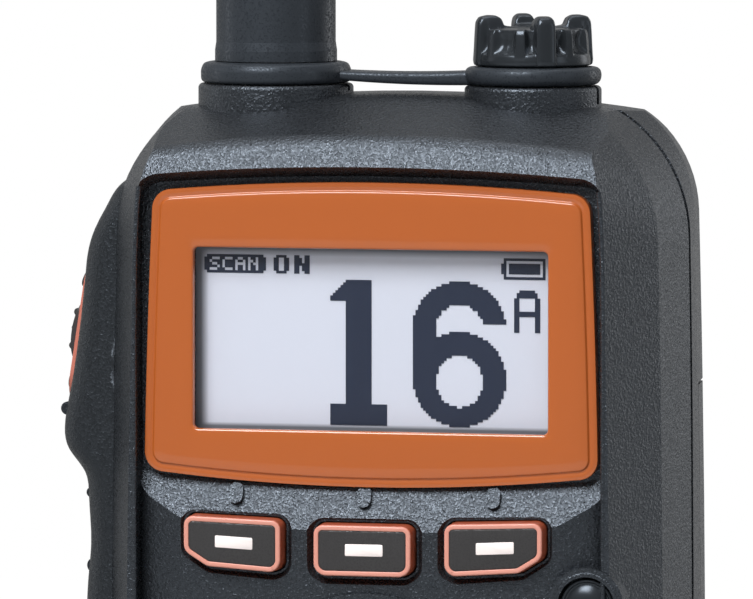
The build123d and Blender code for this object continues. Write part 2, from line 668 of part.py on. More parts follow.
with BuildPart() as side_grip:
    pad_foot = PAD_LINE[-1][1]
    pad_step = (PAD_LINE[0][1] - pad_foot) / (PAD_SECTIONS - 1)
    for number in range(PAD_SECTIONS):
        z = pad_foot + number * pad_step
        x = pad_face(z)
        with BuildSketch(Plane.XY.offset(z)) as section:
            with Locations(((x + PAD_INNER_X) / 2, (PAD_FRONT_Y + PAD_BACK_Y) / 2)):
                Rectangle(PAD_INNER_X - x, PAD_BACK_Y - PAD_FRONT_Y)
            fillet(section.vertices().group_by(Axis.X)[0], PAD_ROUND)
    loft()
    for x, z, radius in PAD_RIBS:
        with Locations(Location((x, (PAD_FRONT_Y + PAD_BACK_Y) / 2, z), (90, 0, 0))):
            Cylinder(radius, PAD_RIB_LENGTH)
    add(front_form, mode=Mode.SUBTRACT)
    add(rear_form, mode=Mode.SUBTRACT)
    add(key_well, mode=Mode.SUBTRACT)
    add(stem_holes, mode=Mode.SUBTRACT)
finish(side_grip, "side_grip")

with BuildPart() as side_key_frame:
    add(slope_box(0, FRAME_LENGTH, FRAME_WIDTH, -0.95, FRAME_PROUD))
    for up, length, width, *back in SIDE_KEYS.values():
        hole = slope_box(up, length + 2 * KEY_GAP, width + 2 * KEY_GAP, -2, 3)
        add(hole, mode=Mode.SUBTRACT)
finish(side_key_frame, "side_key_frame")


def across_slope(up, out, radius, length, mode=Mode.ADD):
    """Cylinder across the side-key slope: distance up it and height of its axis."""
    with Locations(SLOPE.location * Location((0, up, out), (0, 90, 0))):
        Cylinder(radius, length, mode=mode)


for name, (up, length, width, height, arch, peak) in SIDE_KEYS.items():
    with BuildPart() as side_key:
        add(slope_box(up, length, width, -0.3, height + 1))
        across_slope(up - peak, height - arch, arch, FAR, mode=Mode.INTERSECT)
        if name == "ptt_button":
            for step in PTT_RIBS:
                across_slope(up + step, height - PTT_RIB_R / 3, PTT_RIB_R, width - 2)
        with BuildSketch(SLOPE):
            with Locations((STEM_OFFSET, up)):
                Circle(STEM_R)
        extrude(amount=-STEM_LENGTH)
    finish(side_key, name)

# ---------------------------------------------------------------- display
with BuildPart() as display_bezel:
    add(plate(bezel_outline(), BEZEL_FACE_Y, FLOOR_Y))
    chamfer(display_bezel.faces().sort_by(Axis.Y)[0].edges(), 0.6)
    window = rounded_rectangle(-WINDOW_HALF, WINDOW_HALF, WINDOW_LOW_Z, WINDOW_HIGH_Z, 0.6)
    add(plate(window, -22, 0), mode=Mode.SUBTRACT)
    rebate = rounded_rectangle(-22.3, 22.3, 99.1, 122.9, 0.8)
    add(plate(rebate, FLOOR_Y - 0.65, 0), mode=Mode.SUBTRACT)
finish(display_bezel, "display_bezel")

with BuildPart() as display_window:
    add(plate(rounded_rectangle(-22.2, 22.2, 99.2, 122.8, 0.7), FLOOR_Y - 0.6, FLOOR_Y + 0.2))
finish(display_window, "display_window")

with BuildPart() as window_gasket:
    add(plate(rounded_rectangle(-22.2, 22.2, 99.2, 122.8, 0.7), FLOOR_Y + 0.25, LCD_Y - FIT))
    opening = rounded_rectangle(
        -WINDOW_HALF - 0.3, WINDOW_HALF + 0.3, WINDOW_LOW_Z - 0.3, WINDOW_HIGH_Z + 0.3, 0.6
    )
    add(plate(opening, -22, 0), mode=Mode.SUBTRACT)
finish(window_gasket, "window_gasket")

with BuildPart() as lcd_panel:
    block((-LCD_HALF, LCD_Y, LCD_LOW_Z), (LCD_HALF, LCD_Y + 2.0, LCD_HIGH_Z))
finish(lcd_panel, "lcd_panel")

with BuildPart() as backlight_panel:
    block((-22.6, LCD_Y + 2.05, 98.6), (22.6, LCD_Y + 3.8, 124.2))
    block((-4, LCD_Y + 2.3, 97.0), (4, LCD_Y + 2.5, 98.7))
finish(backlight_panel, "backlight_panel")

# ---------------------------------------------------------------- keys
SOFT_KEYS = {"soft_key_left": -1, "soft_key_middle": 0, "soft_key_right": 1}
for name, side in SOFT_KEYS.items():
    with BuildPart() as soft_key:
        add(key_cap(soft_key_face(side), soft_key_face(side, 0.8), SOFT_KEY_FACE_Y, 0.25))
    finish(soft_key, name)

for name, (side, z) in SIDE_KEY_ROWS.items():
    with BuildPart() as side_row_key:
        add(key_cap(side_key_face(side, z), side_key_face(side, z, 0.6)))
    finish(side_row_key, name)

ARROW_KEYS = {"key_right": 0, "key_up": 90, "key_left": 180, "key_down": 270}
for name, direction in ARROW_KEYS.items():
    with BuildPart() as arrow_key:
        add(key_cap(arrow_key_face(direction), arrow_key_face(direction, 0.45), FRONT_Y - 0.9))
    finish(arrow_key, name)

with BuildPart() as power_key:
    post(POWER_X, POWER_Z, POWER_R, FRONT_Y + 0.1, -17.4)
    fillet(power_key.faces().sort_by(Axis.Y)[0].edges(), 0.7)
    post(POWER_X, POWER_Z, 1.4, -17.5, -13.4)
    post(POWER_X, POWER_Z, 2.0, CAVITY_Y + FIT, -13.0)
finish(power_key, "power_key")


# ---------------------------------------------------------------- antenna
with BuildPart() as antenna_socket:
    upright(-TOWER_X, 0, SOCKET_R, SOCKET_FOOT_Z, BOSS_TOP_Z)
    upright(-TOWER_X, 0, BORE_R, SOCKET_FOOT_Z + 2.4, BOSS_TOP_Z + 1, mode=Mode.SUBTRACT)
    upright(-TOWER_X, 0, 0.6, SOCKET_FOOT_Z - 1, SOCKET_FOOT_Z + 3, mode=Mode.SUBTRACT)
finish(antenna_socket, "antenna_socket")

with BuildPart() as antenna_jacket:
    with BuildSketch(Plane.XZ):
        with BuildLine():
            Polyline(
                (ANTENNA_TIP_R - 1.6, ANTENNA_TOP_Z),
                (0, ANTENNA_TOP_Z),
                (0, ANTENNA_FOOT_Z),
                (ANTENNA_R + 0.15, ANTENNA_FOOT_Z),
                (ANTENNA_R + 0.15, ANTENNA_FOOT_Z + 1.2),
                (ANTENNA_R, ANTENNA_FOOT_Z + 2.2),
                (ANTENNA_R, ANTENNA_TAPER_Z),
                (ANTENNA_TIP_R, ANTENNA_TOP_Z - 1.6),
            )
            RadiusArc((ANTENNA_TIP_R, ANTENNA_TOP_Z - 1.6), (ANTENNA_TIP_R - 1.6, ANTENNA_TOP_Z), -1.6)
        make_face()
    revolve(axis=Axis.Z)
    upright(0, 0, ANTENNA_BORE_R, ANTENNA_FOOT_Z - 1, ANTENNA_TOP_Z - 6, mode=Mode.SUBTRACT)
antenna_jacket.part = antenna_jacket.part.moved(Location((-TOWER_X, 0, 0)))
finish(antenna_jacket, "antenna_jacket")

with BuildPart() as antenna_connector:
    upright(-TOWER_X, 0, THREAD_R, NECK_FOOT_Z, ANTENNA_FOOT_Z - FIT)
    upright(-TOWER_X, 0, ANTENNA_BORE_R - FIT, ANTENNA_FOOT_Z - 0.1, ANTENNA_FOOT_Z + 8)
    upright(-TOWER_X, 0, 0.7, NECK_FOOT_Z - 1, NECK_FOOT_Z + 3, mode=Mode.SUBTRACT)
    with BuildSketch(Plane.XY.offset(SEAL_LOW_Z)):
        with Locations((-TOWER_X, 0)):
            Circle(THREAD_R + 1)
            Circle(SEAL_GROOVE_R, mode=Mode.SUBTRACT)
    extrude(amount=SEAL_HEIGHT, mode=Mode.SUBTRACT)
finish(antenna_connector, "antenna_connector")

CORE_FOOT_Z = ANTENNA_FOOT_Z + 8.1
with BuildPart() as antenna_core:
    upright(-TOWER_X, 0, 2.2, CORE_FOOT_Z, ANTENNA_TOP_Z - 7)
finish(antenna_core, "antenna_core")

with BuildPart() as antenna_winding:
    with BuildLine(Plane.XY.offset(CORE_FOOT_Z + 2)) as coil_path:
        Helix(pitch=7, height=119, radius=2.85)
    with BuildSketch(Plane(origin=coil_path.line @ 0, z_dir=coil_path.line % 0)):
        Circle(0.45)
    sweep(is_frenet=True)
antenna_winding.part = antenna_winding.part.moved(Location((-TOWER_X, 0, 0)))
finish(antenna_winding, "antenna_winding")


def neck_seal(x):
    """Rubber ring in the groove of a threaded neck."""
    with BuildPart() as ring:
        upright(x, 0, THREAD_R + 0.02, SEAL_LOW_Z + FIT, SEAL_LOW_Z + SEAL_HEIGHT - FIT)
        fillet(ring.edges(), 0.3)
        upright(x, 0, SEAL_GROOVE_R + 0.02, SEAL_LOW_Z - 1, SEAL_LOW_Z + 3, mode=Mode.SUBTRACT)
    return ring.part


with BuildPart() as antenna_seal:
    add(neck_seal(-TOWER_X))
finish(antenna_seal, "antenna_seal")

# ---------------------------------------------------------------- jack, its cap and the tether
with BuildPart() as accessory_jack:
    upright(TOWER_X, 0, SOCKET_R, SOCKET_FOOT_Z, BOSS_TOP_Z)
    upright(TOWER_X, 0, BORE_R, NECK_FOOT_Z - 0.3, BOSS_TOP_Z + 1, mode=Mode.SUBTRACT)
    upright(TOWER_X, 0, 1.8, SOCKET_FOOT_Z + 0.6, BOSS_TOP_Z + 1, mode=Mode.SUBTRACT)
finish(accessory_jack, "accessory_jack")

with BuildPart() as jack_cap:
    upright(TOWER_X, 0, CAP_R, CAP_FOOT_Z, CAP_FOOT_Z + 1.0)
    with BuildSketch(Plane.XY.offset(CAP_FOOT_Z + 0.9)):
        with Locations((TOWER_X, 0)):
            Circle(CAP_R - 0.05)
    extrude(amount=CAP_DECK_Z - CAP_FOOT_Z - 0.9, taper=4)
    fillet(jack_cap.faces().sort_by(Axis.Z)[-1].edges(), 0.5)
    with Locations((TOWER_X, 0, 0)):
        with PolarLocations(0, 8, start_angle=FIN_TURN + 22.5):
            with Locations((CAP_R + 0.35, 0, (CAP_FOOT_Z + 1.3 + CAP_DECK_Z + 1) / 2)):
                Box(2.0, 2.2, CAP_DECK_Z - CAP_FOOT_Z - 0.3, mode=Mode.SUBTRACT)
        with PolarLocations(0, 4, start_angle=FIN_TURN):
            with Locations(((FIN_INNER_R + FIN_OUTER_R) / 2, 0, (CAP_FOOT_Z + 0.6 + FIN_TOP_Z) / 2)):
                Box(FIN_OUTER_R - FIN_INNER_R, FIN_WIDTH, FIN_TOP_Z - CAP_FOOT_Z - 0.6)
    fin_edges = jack_cap.edges().filter_by_position(Axis.Z, FIN_TOP_Z - 0.01, FIN_TOP_Z + 0.01)
    fillet(fin_edges, 0.5)
    upright(TOWER_X, 0, THREAD_R, NECK_FOOT_Z, CAP_FOOT_Z + 0.1)
    with BuildSketch(Plane.XY.offset(SEAL_LOW_Z)):
        with Locations((TOWER_X, 0)):
            Circle(THREAD_R + 1)
            Circle(SEAL_GROOVE_R, mode=Mode.SUBTRACT)
    extrude(amount=SEAL_HEIGHT, mode=Mode.SUBTRACT)
finish(jack_cap, "jack_cap")

with BuildPart() as cap_seal:
    add(neck_seal(TOWER_X))
finish(cap_seal, "cap_seal")

with BuildPart() as tether_strap:
    upright(-TOWER_X, 0, ANTENNA_RING_R, STRAP_Z, STRAP_Z + ANTENNA_RING_HEIGHT)
    fillet(tether_strap.faces().sort_by(Axis.Z)[-1].edges(), 0.7)
    upright(TOWER_X, 0, JACK_RING_R, STRAP_Z, STRAP_Z + JACK_RING_HEIGHT)
    jack_ring_top = STRAP_Z + JACK_RING_HEIGHT
    fillet(tether_strap.edges().filter_by_position(Axis.Z, jack_ring_top - FIT, jack_ring_top + FIT), 0.5)
    block(
        (-TOWER_X, -STRAP_WIDTH / 2, STRAP_Z + 0.3),
        (TOWER_X, STRAP_WIDTH / 2, STRAP_Z + 0.3 + STRAP_THICKNESS),
    )
    for x in (-TOWER_X, TOWER_X):
        upright(x, 0, RING_HOLE_R, STRAP_Z - 1, STRAP_Z + 5, mode=Mode.SUBTRACT)
finish(tether_strap, "tether_strap")

# ---------------------------------------------------------------- inside
KEY_BOARD_Y = -13.0
BOARD_Y = -9.2

with BuildPart() as keypad_mat:
    add(plate(rounded_rectangle(-23.5, 23.5, 54.6, 92.6, 2), -14.6, -13.7))
    post(POWER_X, POWER_Z, POWER_GUARD_R + 0.4, -15, -13, mode=Mode.SUBTRACT)
finish(keypad_mat, "keypad_mat")

with BuildPart() as key_board:
    add(plate(rounded_rectangle(-22.5, 22.5, 55.0, 92.4, 2), KEY_BOARD_Y, KEY_BOARD_Y + 1.2))
finish(key_board, "key_board")

key_centres = [soft_key_centre(side) for side in (-1, 0, 1)]
key_centres += [(side * SIDE_KEY_X, z) for side, z in SIDE_KEY_ROWS.values()]
for direction in ARROW_KEYS.values():
    reach = (NAV_R + NAV_CORE_R) / 2
    key_centres.append((reach * cos(radians(direction)), NAV_Z + reach * sin(radians(direction))))
with BuildPart() as key_domes:
    for x, z in key_centres:
        post(x, z, 2.4, KEY_BOARD_Y - 0.35, KEY_BOARD_Y - 0.02)
finish(key_domes, "key_domes")

with BuildPart() as main_board:
    add(plate(rounded_rectangle(-22.6, 22.6, 10.0, 124.6, 2), BOARD_Y, BOARD_Y + 1.6))
    for x in (-19, 19):
        for z in (24, 88):
            post(x, z, 1.3, BOARD_Y - 1, BOARD_Y + 3, mode=Mode.SUBTRACT)
finish(main_board, "main_board")

with BuildPart() as shield_can:
    block((-17, BOARD_Y + 1.65, 58), (17, BOARD_Y + 4.6, 118))
    fillet(shield_can.faces().sort_by(Axis.Y)[-1].edges(), 0.5)
    block((-16.7, BOARD_Y, 58.3), (16.7, BOARD_Y + 4.3, 117.7), mode=Mode.SUBTRACT)
finish(shield_can, "shield_can")

with BuildPart() as speaker_mesh:
    post(0, SPEAKER_Z, SPEAKER_R + 1, PANEL_INNER_Y + 0.02, PANEL_INNER_Y + 0.18)
finish(speaker_mesh, "speaker_mesh")

with BuildPart() as speaker:
    post(0, SPEAKER_Z, SPEAKER_R, PANEL_INNER_Y + 0.2, PANEL_INNER_Y + 2.4)
    post(0, SPEAKER_Z, 9.0, PANEL_INNER_Y + 2.3, PANEL_INNER_Y + 6.4)
    post(0, SPEAKER_Z, SPEAKER_R - 1.5, PANEL_INNER_Y - 1, PANEL_INNER_Y + 1.9, mode=Mode.SUBTRACT)
finish(speaker, "speaker")

with BuildPart() as speaker_cone:
    with BuildSketch(Plane.XY):
        with BuildLine():
            Polyline(
                (0, PANEL_INNER_Y + 1.2), (4, PANEL_INNER_Y + 1.6), (12, PANEL_INNER_Y + 0.5),
                (SPEAKER_R - 1.6, PANEL_INNER_Y + 0.5), (SPEAKER_R - 1.6, PANEL_INNER_Y + 0.7),
                (12, PANEL_INNER_Y + 0.7), (4, PANEL_INNER_Y + 1.8), (0, PANEL_INNER_Y + 1.4), close=True,
            )
        make_face()
    revolve(axis=Axis.Y)
speaker_cone.part = speaker_cone.part.moved(Location((0, 0, SPEAKER_Z)))
finish(speaker_cone, "speaker_cone")

with BuildPart() as microphone:
    post(MIC_X, MIC_Z, 3.0, PANEL_INNER_Y + 0.1, PANEL_INNER_Y + 2.4)
    fillet(microphone.faces().sort_by(Axis.Y)[-1].edges(), 0.3)
finish(microphone, "microphone")

# side switches behind the push-to-talk keys, on their own small board
with BuildPart() as side_switches:
    block((-27.0, -8.0, 102.0), (-26.1, -1.6, 121.0))
    with BuildSketch(SLOPE.offset(-STEM_LENGTH - SIDE_TRAVEL - 0.2)):
        with Locations(*[(STEM_OFFSET, key[0]) for key in SIDE_KEYS.values()]):
            Rectangle(2.4, 2.4)
    extrude(amount=-SWITCH_DEPTH)
    block((-26.1, -8.0, 100.0), (-20.0, 0.0, 125.0), mode=Mode.SUBTRACT)
finish(side_switches, "side_switches")

# ---------------------------------------------------------------- battery
BATTERY_Y = BAY_Y + BATTERY_GAP
BATTERY_FOOT_Z = BAY_FOOT_Z + BATTERY_GAP
BATTERY_HEAD_Z = BAY_HEAD_Z - BATTERY_GAP
PLATE_Y = BACK_Y - 1.3     # inner face of the latch plate

with BuildPart() as battery_cavity:
    add(case_form(REAR_STATIONS, 1.7))
    block((-FAR, -5, -5), (FAR, BATTERY_Y + 1.8, 150), mode=Mode.SUBTRACT)
    block((-FAR, -5, -5), (FAR, 30, BATTERY_FOOT_Z + 1.7), mode=Mode.SUBTRACT)
    block((-FAR, -5, BATTERY_HEAD_Z - 1.7), (FAR, 30, 150), mode=Mode.SUBTRACT)
    block((-LATCH_HALF - 2.2, 14.5, 5), (LATCH_HALF + 2.2, 30, 20.5), mode=Mode.SUBTRACT)

with BuildPart() as battery_case:
    add(rear_form)
    block((-FAR, -5, -5), (FAR, BATTERY_Y, 150), mode=Mode.SUBTRACT)
    block((-FAR, -5, -5), (FAR, 30, BATTERY_FOOT_Z), mode=Mode.SUBTRACT)
    block((-FAR, -5, BATTERY_HEAD_Z), (FAR, 30, 150), mode=Mode.SUBTRACT)
    add(battery_cavity.part, mode=Mode.SUBTRACT)
    block((-28.0, BATTERY_Y - 1, 12.5), (28.0, BATTERY_Y + 3, 101.5), mode=Mode.SUBTRACT)
    block((-LATCH_HALF - 0.4, PLATE_Y - 0.15, 8), (LATCH_HALF + 0.4, 21, 18.6), mode=Mode.SUBTRACT)
    # two charging contacts sit in the back
    for x in (-7, 7):
        post(x, 24.5, 2.4, BACK_Y - 0.6, 21, mode=Mode.SUBTRACT)
finish(battery_case, "battery_case")

with BuildPart() as battery_cover:
    add(plate(rounded_rectangle(-27.95, 27.95, 12.55, 101.45, 0.5), BATTERY_Y, BATTERY_Y + 1.6))
    for x in (-6, -2, 2, 6):
        post(x, 16, 1.3, BATTERY_Y - 1, BATTERY_Y + 3, mode=Mode.SUBTRACT)
finish(battery_cover, "battery_cover")

with BuildPart() as battery_cells:
    for side in (-1, 1):
        add(plate(rounded_rectangle(min(side, side * 26), max(side, side * 26), 23, 92, 1.5), 8.4, 15.4))
finish(battery_cells, "battery_cells")

with BuildPart() as battery_board:
    block((-24, 7.4, 13.4), (24, 8.2, 20.5))
    for x in (-6, -2, 2, 6):
        post(x, 16, 1.25, BATTERY_Y + 0.05, 7.5)
finish(battery_board, "battery_board")

with BuildPart() as charge_contacts:
    for x in (-7, 7):
        post(x, 24.5, 2.35, BACK_Y - 0.58, BACK_Y - 0.15)
finish(charge_contacts, "charge_contacts")

with BuildPart() as power_contacts:
    for x in (-6, -2, 2, 6):
        post(x, 16, 0.72, 1.6, BATTERY_Y + 0.0)
        post(x, 16, 1.4, 1.0, 2.75)
finish(power_contacts, "power_contacts")

with BuildPart() as battery_latch:
    with BuildSketch(Plane.YZ.offset(-LATCH_HALF)):
        with Locations((LATCH_PIN_Y, LATCH_PIN_Z)):
            Circle(2.3)
        with BuildLine():
            Polyline(
                (LATCH_PIN_Y, LATCH_PIN_Z - 2.2), (BACK_Y - 0.1, LATCH_PIN_Z - 1.6), (BACK_Y - 0.1, 18.2),
                (PLATE_Y, 18.2), (PLATE_Y, LATCH_PIN_Z + 2.4), (LATCH_PIN_Y, LATCH_PIN_Z + 2.2), close=True,
            )
        make_face()
    extrude(amount=2 * LATCH_HALF)
    with Locations(Location((0, LATCH_PIN_Y, LATCH_PIN_Z), (0, 90, 0))):
        Cylinder(LATCH_PIN_R + FIT, 30, mode=Mode.SUBTRACT)
    for z in (12.5, 14.0, 15.5):
        block((-6, BACK_Y - 0.1, z - 0.35), (6, BACK_Y + 0.35, z + 0.35))
finish(battery_latch, "battery_latch")

with BuildPart() as latch_pin:
    with Locations(Location((0, LATCH_PIN_Y, LATCH_PIN_Z), (0, 90, 0))):
        Cylinder(LATCH_PIN_R, 2 * LATCH_HALF + 7)
finish(latch_pin, "latch_pin")

# ---------------------------------------------------------------- belt clip
with BuildPart() as clip_bracket:
    block((-9, BACK_Y, 108.5), (9, BACK_Y + 2.2, 125.5))
    fillet(clip_bracket.edges().filter_by(Axis.Y), 2)
    for side in (-1, 1):
        with BuildSketch(Plane.YZ.offset(side * 8 - 1)):
            with Locations((CLIP_PIN_Y, CLIP_PIN_Z)):
                Circle(2.4)
            with BuildLine():
                Polyline(
                    (BACK_Y + 1, CLIP_PIN_Z - 5), (CLIP_PIN_Y + 1, CLIP_PIN_Z - 2.0),
                    (CLIP_PIN_Y + 1, CLIP_PIN_Z + 2.0), (BACK_Y + 1, CLIP_PIN_Z + 5), close=True,
                )
            make_face()
        extrude(amount=2)
    with Locations(Location((0, CLIP_PIN_Y, CLIP_PIN_Z), (0, 90, 0))):
        Cylinder(CLIP_PIN_R, 30, mode=Mode.SUBTRACT)
    for x in (-4.5, 4.5):
        post(x, 112.0, 1.6, BACK_Y - 1, BACK_Y + 4, mode=Mode.SUBTRACT)
finish(clip_bracket, "clip_bracket")

with BuildPart() as clip_screws:
    for x in (-4.5, 4.5):
        post(x, 112.0, 1.18, 11.5, BACK_Y + 2.3)
        post(x, 112.0, 2.4, BACK_Y + 2.22, BACK_Y + 3.6)
        block((x - 1.6, BACK_Y + 3.1, 111.7), (x + 1.6, BACK_Y + 4, 112.3), mode=Mode.SUBTRACT)
finish(clip_screws, "clip_screws")

with BuildPart() as clip_pin:
    with Locations(Location((0, CLIP_PIN_Y, CLIP_PIN_Z), (0, 90, 0))):
        Cylinder(CLIP_PIN_R, 18.6)
finish(clip_pin, "clip_pin")

with BuildPart() as belt_clip:
    with BuildSketch(Plane.YZ.offset(-9)):
        with BuildLine():
            FilletPolyline(
                (CLIP_ARM_Y, 131.0), (CLIP_ARM_Y, 66.5), (BACK_Y + 0.6, 63.6), (BACK_Y + 0.6, 61.6),
                (CLIP_ARM_Y - 1.4, 59.6), (CLIP_ARM_Y + CLIP_ARM_THICK, 63.5),
                (CLIP_ARM_Y + CLIP_ARM_THICK, 131.0), radius=0.9, close=True,
            )
        make_face()
    extrude(amount=18)
    for side in (-1, 1):
        block((side * 8.3 - 1.7, 20, 113.5), (side * 8.3 + 1.7, 30, 140), mode=Mode.SUBTRACT)
    with Locations(Location((0, CLIP_PIN_Y, CLIP_PIN_Z), (0, 90, 0))):
        Cylinder(2.2, 13.0)
        Cylinder(CLIP_PIN_R + FIT, 30, mode=Mode.SUBTRACT)
    block(
        (-2.7, CLIP_ARM_Y - 3, CLIP_PIN_Z - 2.6), (2.7, CLIP_ARM_Y + 3.6, CLIP_PIN_Z + 2.6),
        mode=Mode.SUBTRACT,
    )
finish(belt_clip, "belt_clip")

with BuildPart() as clip_spring:
    with BuildLine(Plane.XY) as spring_path:
        Helix(pitch=0.8, height=4.4, radius=1.6)
    with BuildSketch(Plane(origin=spring_path.line @ 0, z_dir=spring_path.line % 0)):
        Circle(0.3)
    sweep(is_frenet=True)
clip_spring.part = clip_spring.part.moved(Location((0, 0, -2.2)))
clip_spring.part = clip_spring.part.moved(Location((0, CLIP_PIN_Y, CLIP_PIN_Z), (0, 90, 0)))
finish(clip_spring, "clip_spring")
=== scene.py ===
# %% [markdown]
# A handheld marine VHF radio: a black moulded case with a glossy orange frame round its display,
# three translucent keys, a rubber antenna and a screw cap on a rubber tether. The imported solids
# give every piece its place and its motion. The cells below give the pieces their finishes, and
# put finer surfaces where a moulding has soft forms that a plain solid leaves out.

# %% Load the fixed frame
import json
import math

import bpy
import numpy as np
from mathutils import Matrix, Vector


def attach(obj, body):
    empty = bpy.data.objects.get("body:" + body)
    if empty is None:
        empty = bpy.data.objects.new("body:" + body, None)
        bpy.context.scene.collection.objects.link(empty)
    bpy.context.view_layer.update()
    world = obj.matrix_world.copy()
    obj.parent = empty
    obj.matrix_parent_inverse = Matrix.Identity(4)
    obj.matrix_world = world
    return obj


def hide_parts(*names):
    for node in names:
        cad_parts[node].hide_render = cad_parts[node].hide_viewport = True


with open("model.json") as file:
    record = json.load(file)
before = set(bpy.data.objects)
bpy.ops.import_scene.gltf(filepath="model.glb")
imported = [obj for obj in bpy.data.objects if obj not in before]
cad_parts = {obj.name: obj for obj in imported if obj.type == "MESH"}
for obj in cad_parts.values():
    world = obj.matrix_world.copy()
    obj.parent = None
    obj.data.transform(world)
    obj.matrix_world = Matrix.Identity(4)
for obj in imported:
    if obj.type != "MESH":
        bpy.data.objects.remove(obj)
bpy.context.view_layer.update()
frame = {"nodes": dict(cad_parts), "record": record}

# %% [markdown]
# Lengths are written in millimetres, as a maker would, and turned into Blender's metres by one
# factor. Colours are written as sRGB hex values and turned into linear light by one function.

# %% Units and colours
MM = 0.001


def linear(hex_colour):
    """Linear RGBA of an sRGB colour: c/12.92 below 0.04045, else ((c + 0.055)/1.055)^2.4."""
    channels = [int(hex_colour[i:i + 2], 16) / 255 for i in (1, 3, 5)]
    return [c / 12.92 if c <= 0.04045 else ((c + 0.055) / 1.055) ** 2.4 for c in channels] + [1.0]


print("mid grey is", [round(c, 3) for c in linear("#808080")])

# %% [markdown]
# A camera far away with a long lens keeps an object's edges nearly parallel. This one stands
# 0.92 m away, 13 degrees to the reader's right and 4 degrees above the display, and frames the
# upper half of the radio. A tracking constraint could aim it; a rotation worked out once does
# the same and leaves nothing live in the scene.

# %% Camera
VIEW_AZIMUTH = math.radians(13)
VIEW_ELEVATION = math.radians(4)
VIEW_DISTANCE = 0.92
LOOK_AT = Vector((1.15, -19.0, 115.65)) * MM
IMAGE_WIDTH_PX = 753
PIXELS_PER_METRE = 8920
SENSOR_MM = 36.0

toward_camera = Vector((
    math.sin(VIEW_AZIMUTH) * math.cos(VIEW_ELEVATION),
    -math.cos(VIEW_AZIMUTH) * math.cos(VIEW_ELEVATION),
    math.sin(VIEW_ELEVATION),
))
camera_data = bpy.data.cameras.new("camera")
camera_data.sensor_width = SENSOR_MM
camera_data.lens = SENSOR_MM * PIXELS_PER_METRE * VIEW_DISTANCE / IMAGE_WIDTH_PX
camera = bpy.data.objects.new("camera", camera_data)
camera.location = LOOK_AT + VIEW_DISTANCE * toward_camera
camera.rotation_euler = toward_camera.to_track_quat("Z", "Y").to_euler()
bpy.context.scene.collection.objects.link(camera)
bpy.context.scene.camera = camera
print("lens", round(camera_data.lens, 1), "mm")

# %% [markdown]
# A material is a tree of nodes. It could be clicked together in the shader editor. Written with
# one small function that adds a node with its settings and links, it reads as a list of what it
# does.


# %% Nodes
def node(tree, kind, inputs=None, **settings):
    """Add a node. Settings are its own properties; inputs are values or sockets to link."""
    made = tree.nodes.new("ShaderNode" + kind)
    for name, value in settings.items():
        setattr(made, name, value)
    for name, value in (inputs or {}).items():
        if isinstance(value, bpy.types.NodeSocket):
            tree.links.new(value, made.inputs[name])
        else:
            made.inputs[name].default_value = value
    return made


def new_material(name):
    """Empty node material with its tree."""
    material = bpy.data.materials.new(name)
    material.use_nodes = True
    material.node_tree.nodes.clear()
    return material, material.node_tree


print("helpers:", node.__name__, "and", new_material.__name__)

# %% [markdown]
# The room is plain white to the camera and through the window. To everything else it is a dim
# studio, paler behind the radio than in front, so that black plastic stays black and still shows
# its edges. An image of a real studio could surround the scene; a smooth ramp from front to back
# needs no file and is the same for every view.

# %% World
ROOM_FRONT = 0.22
ROOM_BACK = 0.38
RAMP_START, RAMP_END = -0.3, 0.8   # along Y, on the unit sphere of directions
world = bpy.data.worlds.new("studio")
world.use_nodes = True
bpy.context.scene.world = world
tree = world.node_tree
tree.nodes.clear()
path = node(tree, "LightPath")
seen = node(tree, "Math", {0: path.outputs["Is Camera Ray"], 1: path.outputs["Is Transmission Ray"]},
            operation="MAXIMUM")
direction = node(tree, "SeparateXYZ", {0: node(tree, "TexCoord").outputs["Generated"]})
room = node(tree, "MapRange", {"Value": direction.outputs["Y"], "From Min": RAMP_START,
                               "From Max": RAMP_END, "To Min": ROOM_FRONT, "To Max": ROOM_BACK},
            interpolation_type="SMOOTHSTEP")
strength = node(tree, "Mix", {0: seen.outputs[0], 2: room.outputs[0], 3: 1.0}, data_type="FLOAT")
background = node(tree, "Background", {"Color": linear("#ffffff"), "Strength": strength.outputs[0]})
node(tree, "OutputWorld", {"Surface": background.outputs[0]})
print("room:", ROOM_FRONT, "in front,", ROOM_BACK, "behind")

# %% [markdown]
# Softboxes are large lamps with soft-edged shadows. The key one stands high in front, where the
# surfaces that tilt up mirror it. One hangs straight overhead, one at each side fills the flanks,
# and one behind the right shoulder draws that edge. Point lamps would do for brightness, but
# gloss shows the lamp's own shape, and a rectangle is what a studio has.


# %% Softboxes
def softbox(name, place, size, watts):
    """Area lamp at a place given in metres, aimed at the display."""
    lamp = bpy.data.lights.new(name, "AREA")
    lamp.shape = "RECTANGLE"
    lamp.size, lamp.size_y = size
    lamp.energy = watts
    made = bpy.data.objects.new(name, lamp)
    made.location = place
    made.rotation_euler = (Vector(place) - LOOK_AT).to_track_quat("Z", "Y").to_euler()
    bpy.context.scene.collection.objects.link(made)


softbox("key_softbox", (-0.19, -0.57, 0.74), (0.42, 0.44), 8.2)
softbox("top_softbox", (0.0, 0.05, 1.0), (0.6, 0.6), 2.2)
softbox("left_softbox", (-0.9, 0.0, 0.25), (0.25, 0.7), 0.7)
softbox("rim_softbox", (0.62, 0.66, 0.2), (0.3, 0.7), 0.9)
softbox("right_softbox", (0.9, -0.35, 0.25), (0.3, 0.7), 0.6)

# %% [markdown]
# The radio stands on a pale table. A sweep of paper that curves up behind it is the usual
# backdrop, but the world is white already, so one flat square is enough. It glows a little to
# the camera only, which makes it nearly white and leaves the radio's shadow on it.

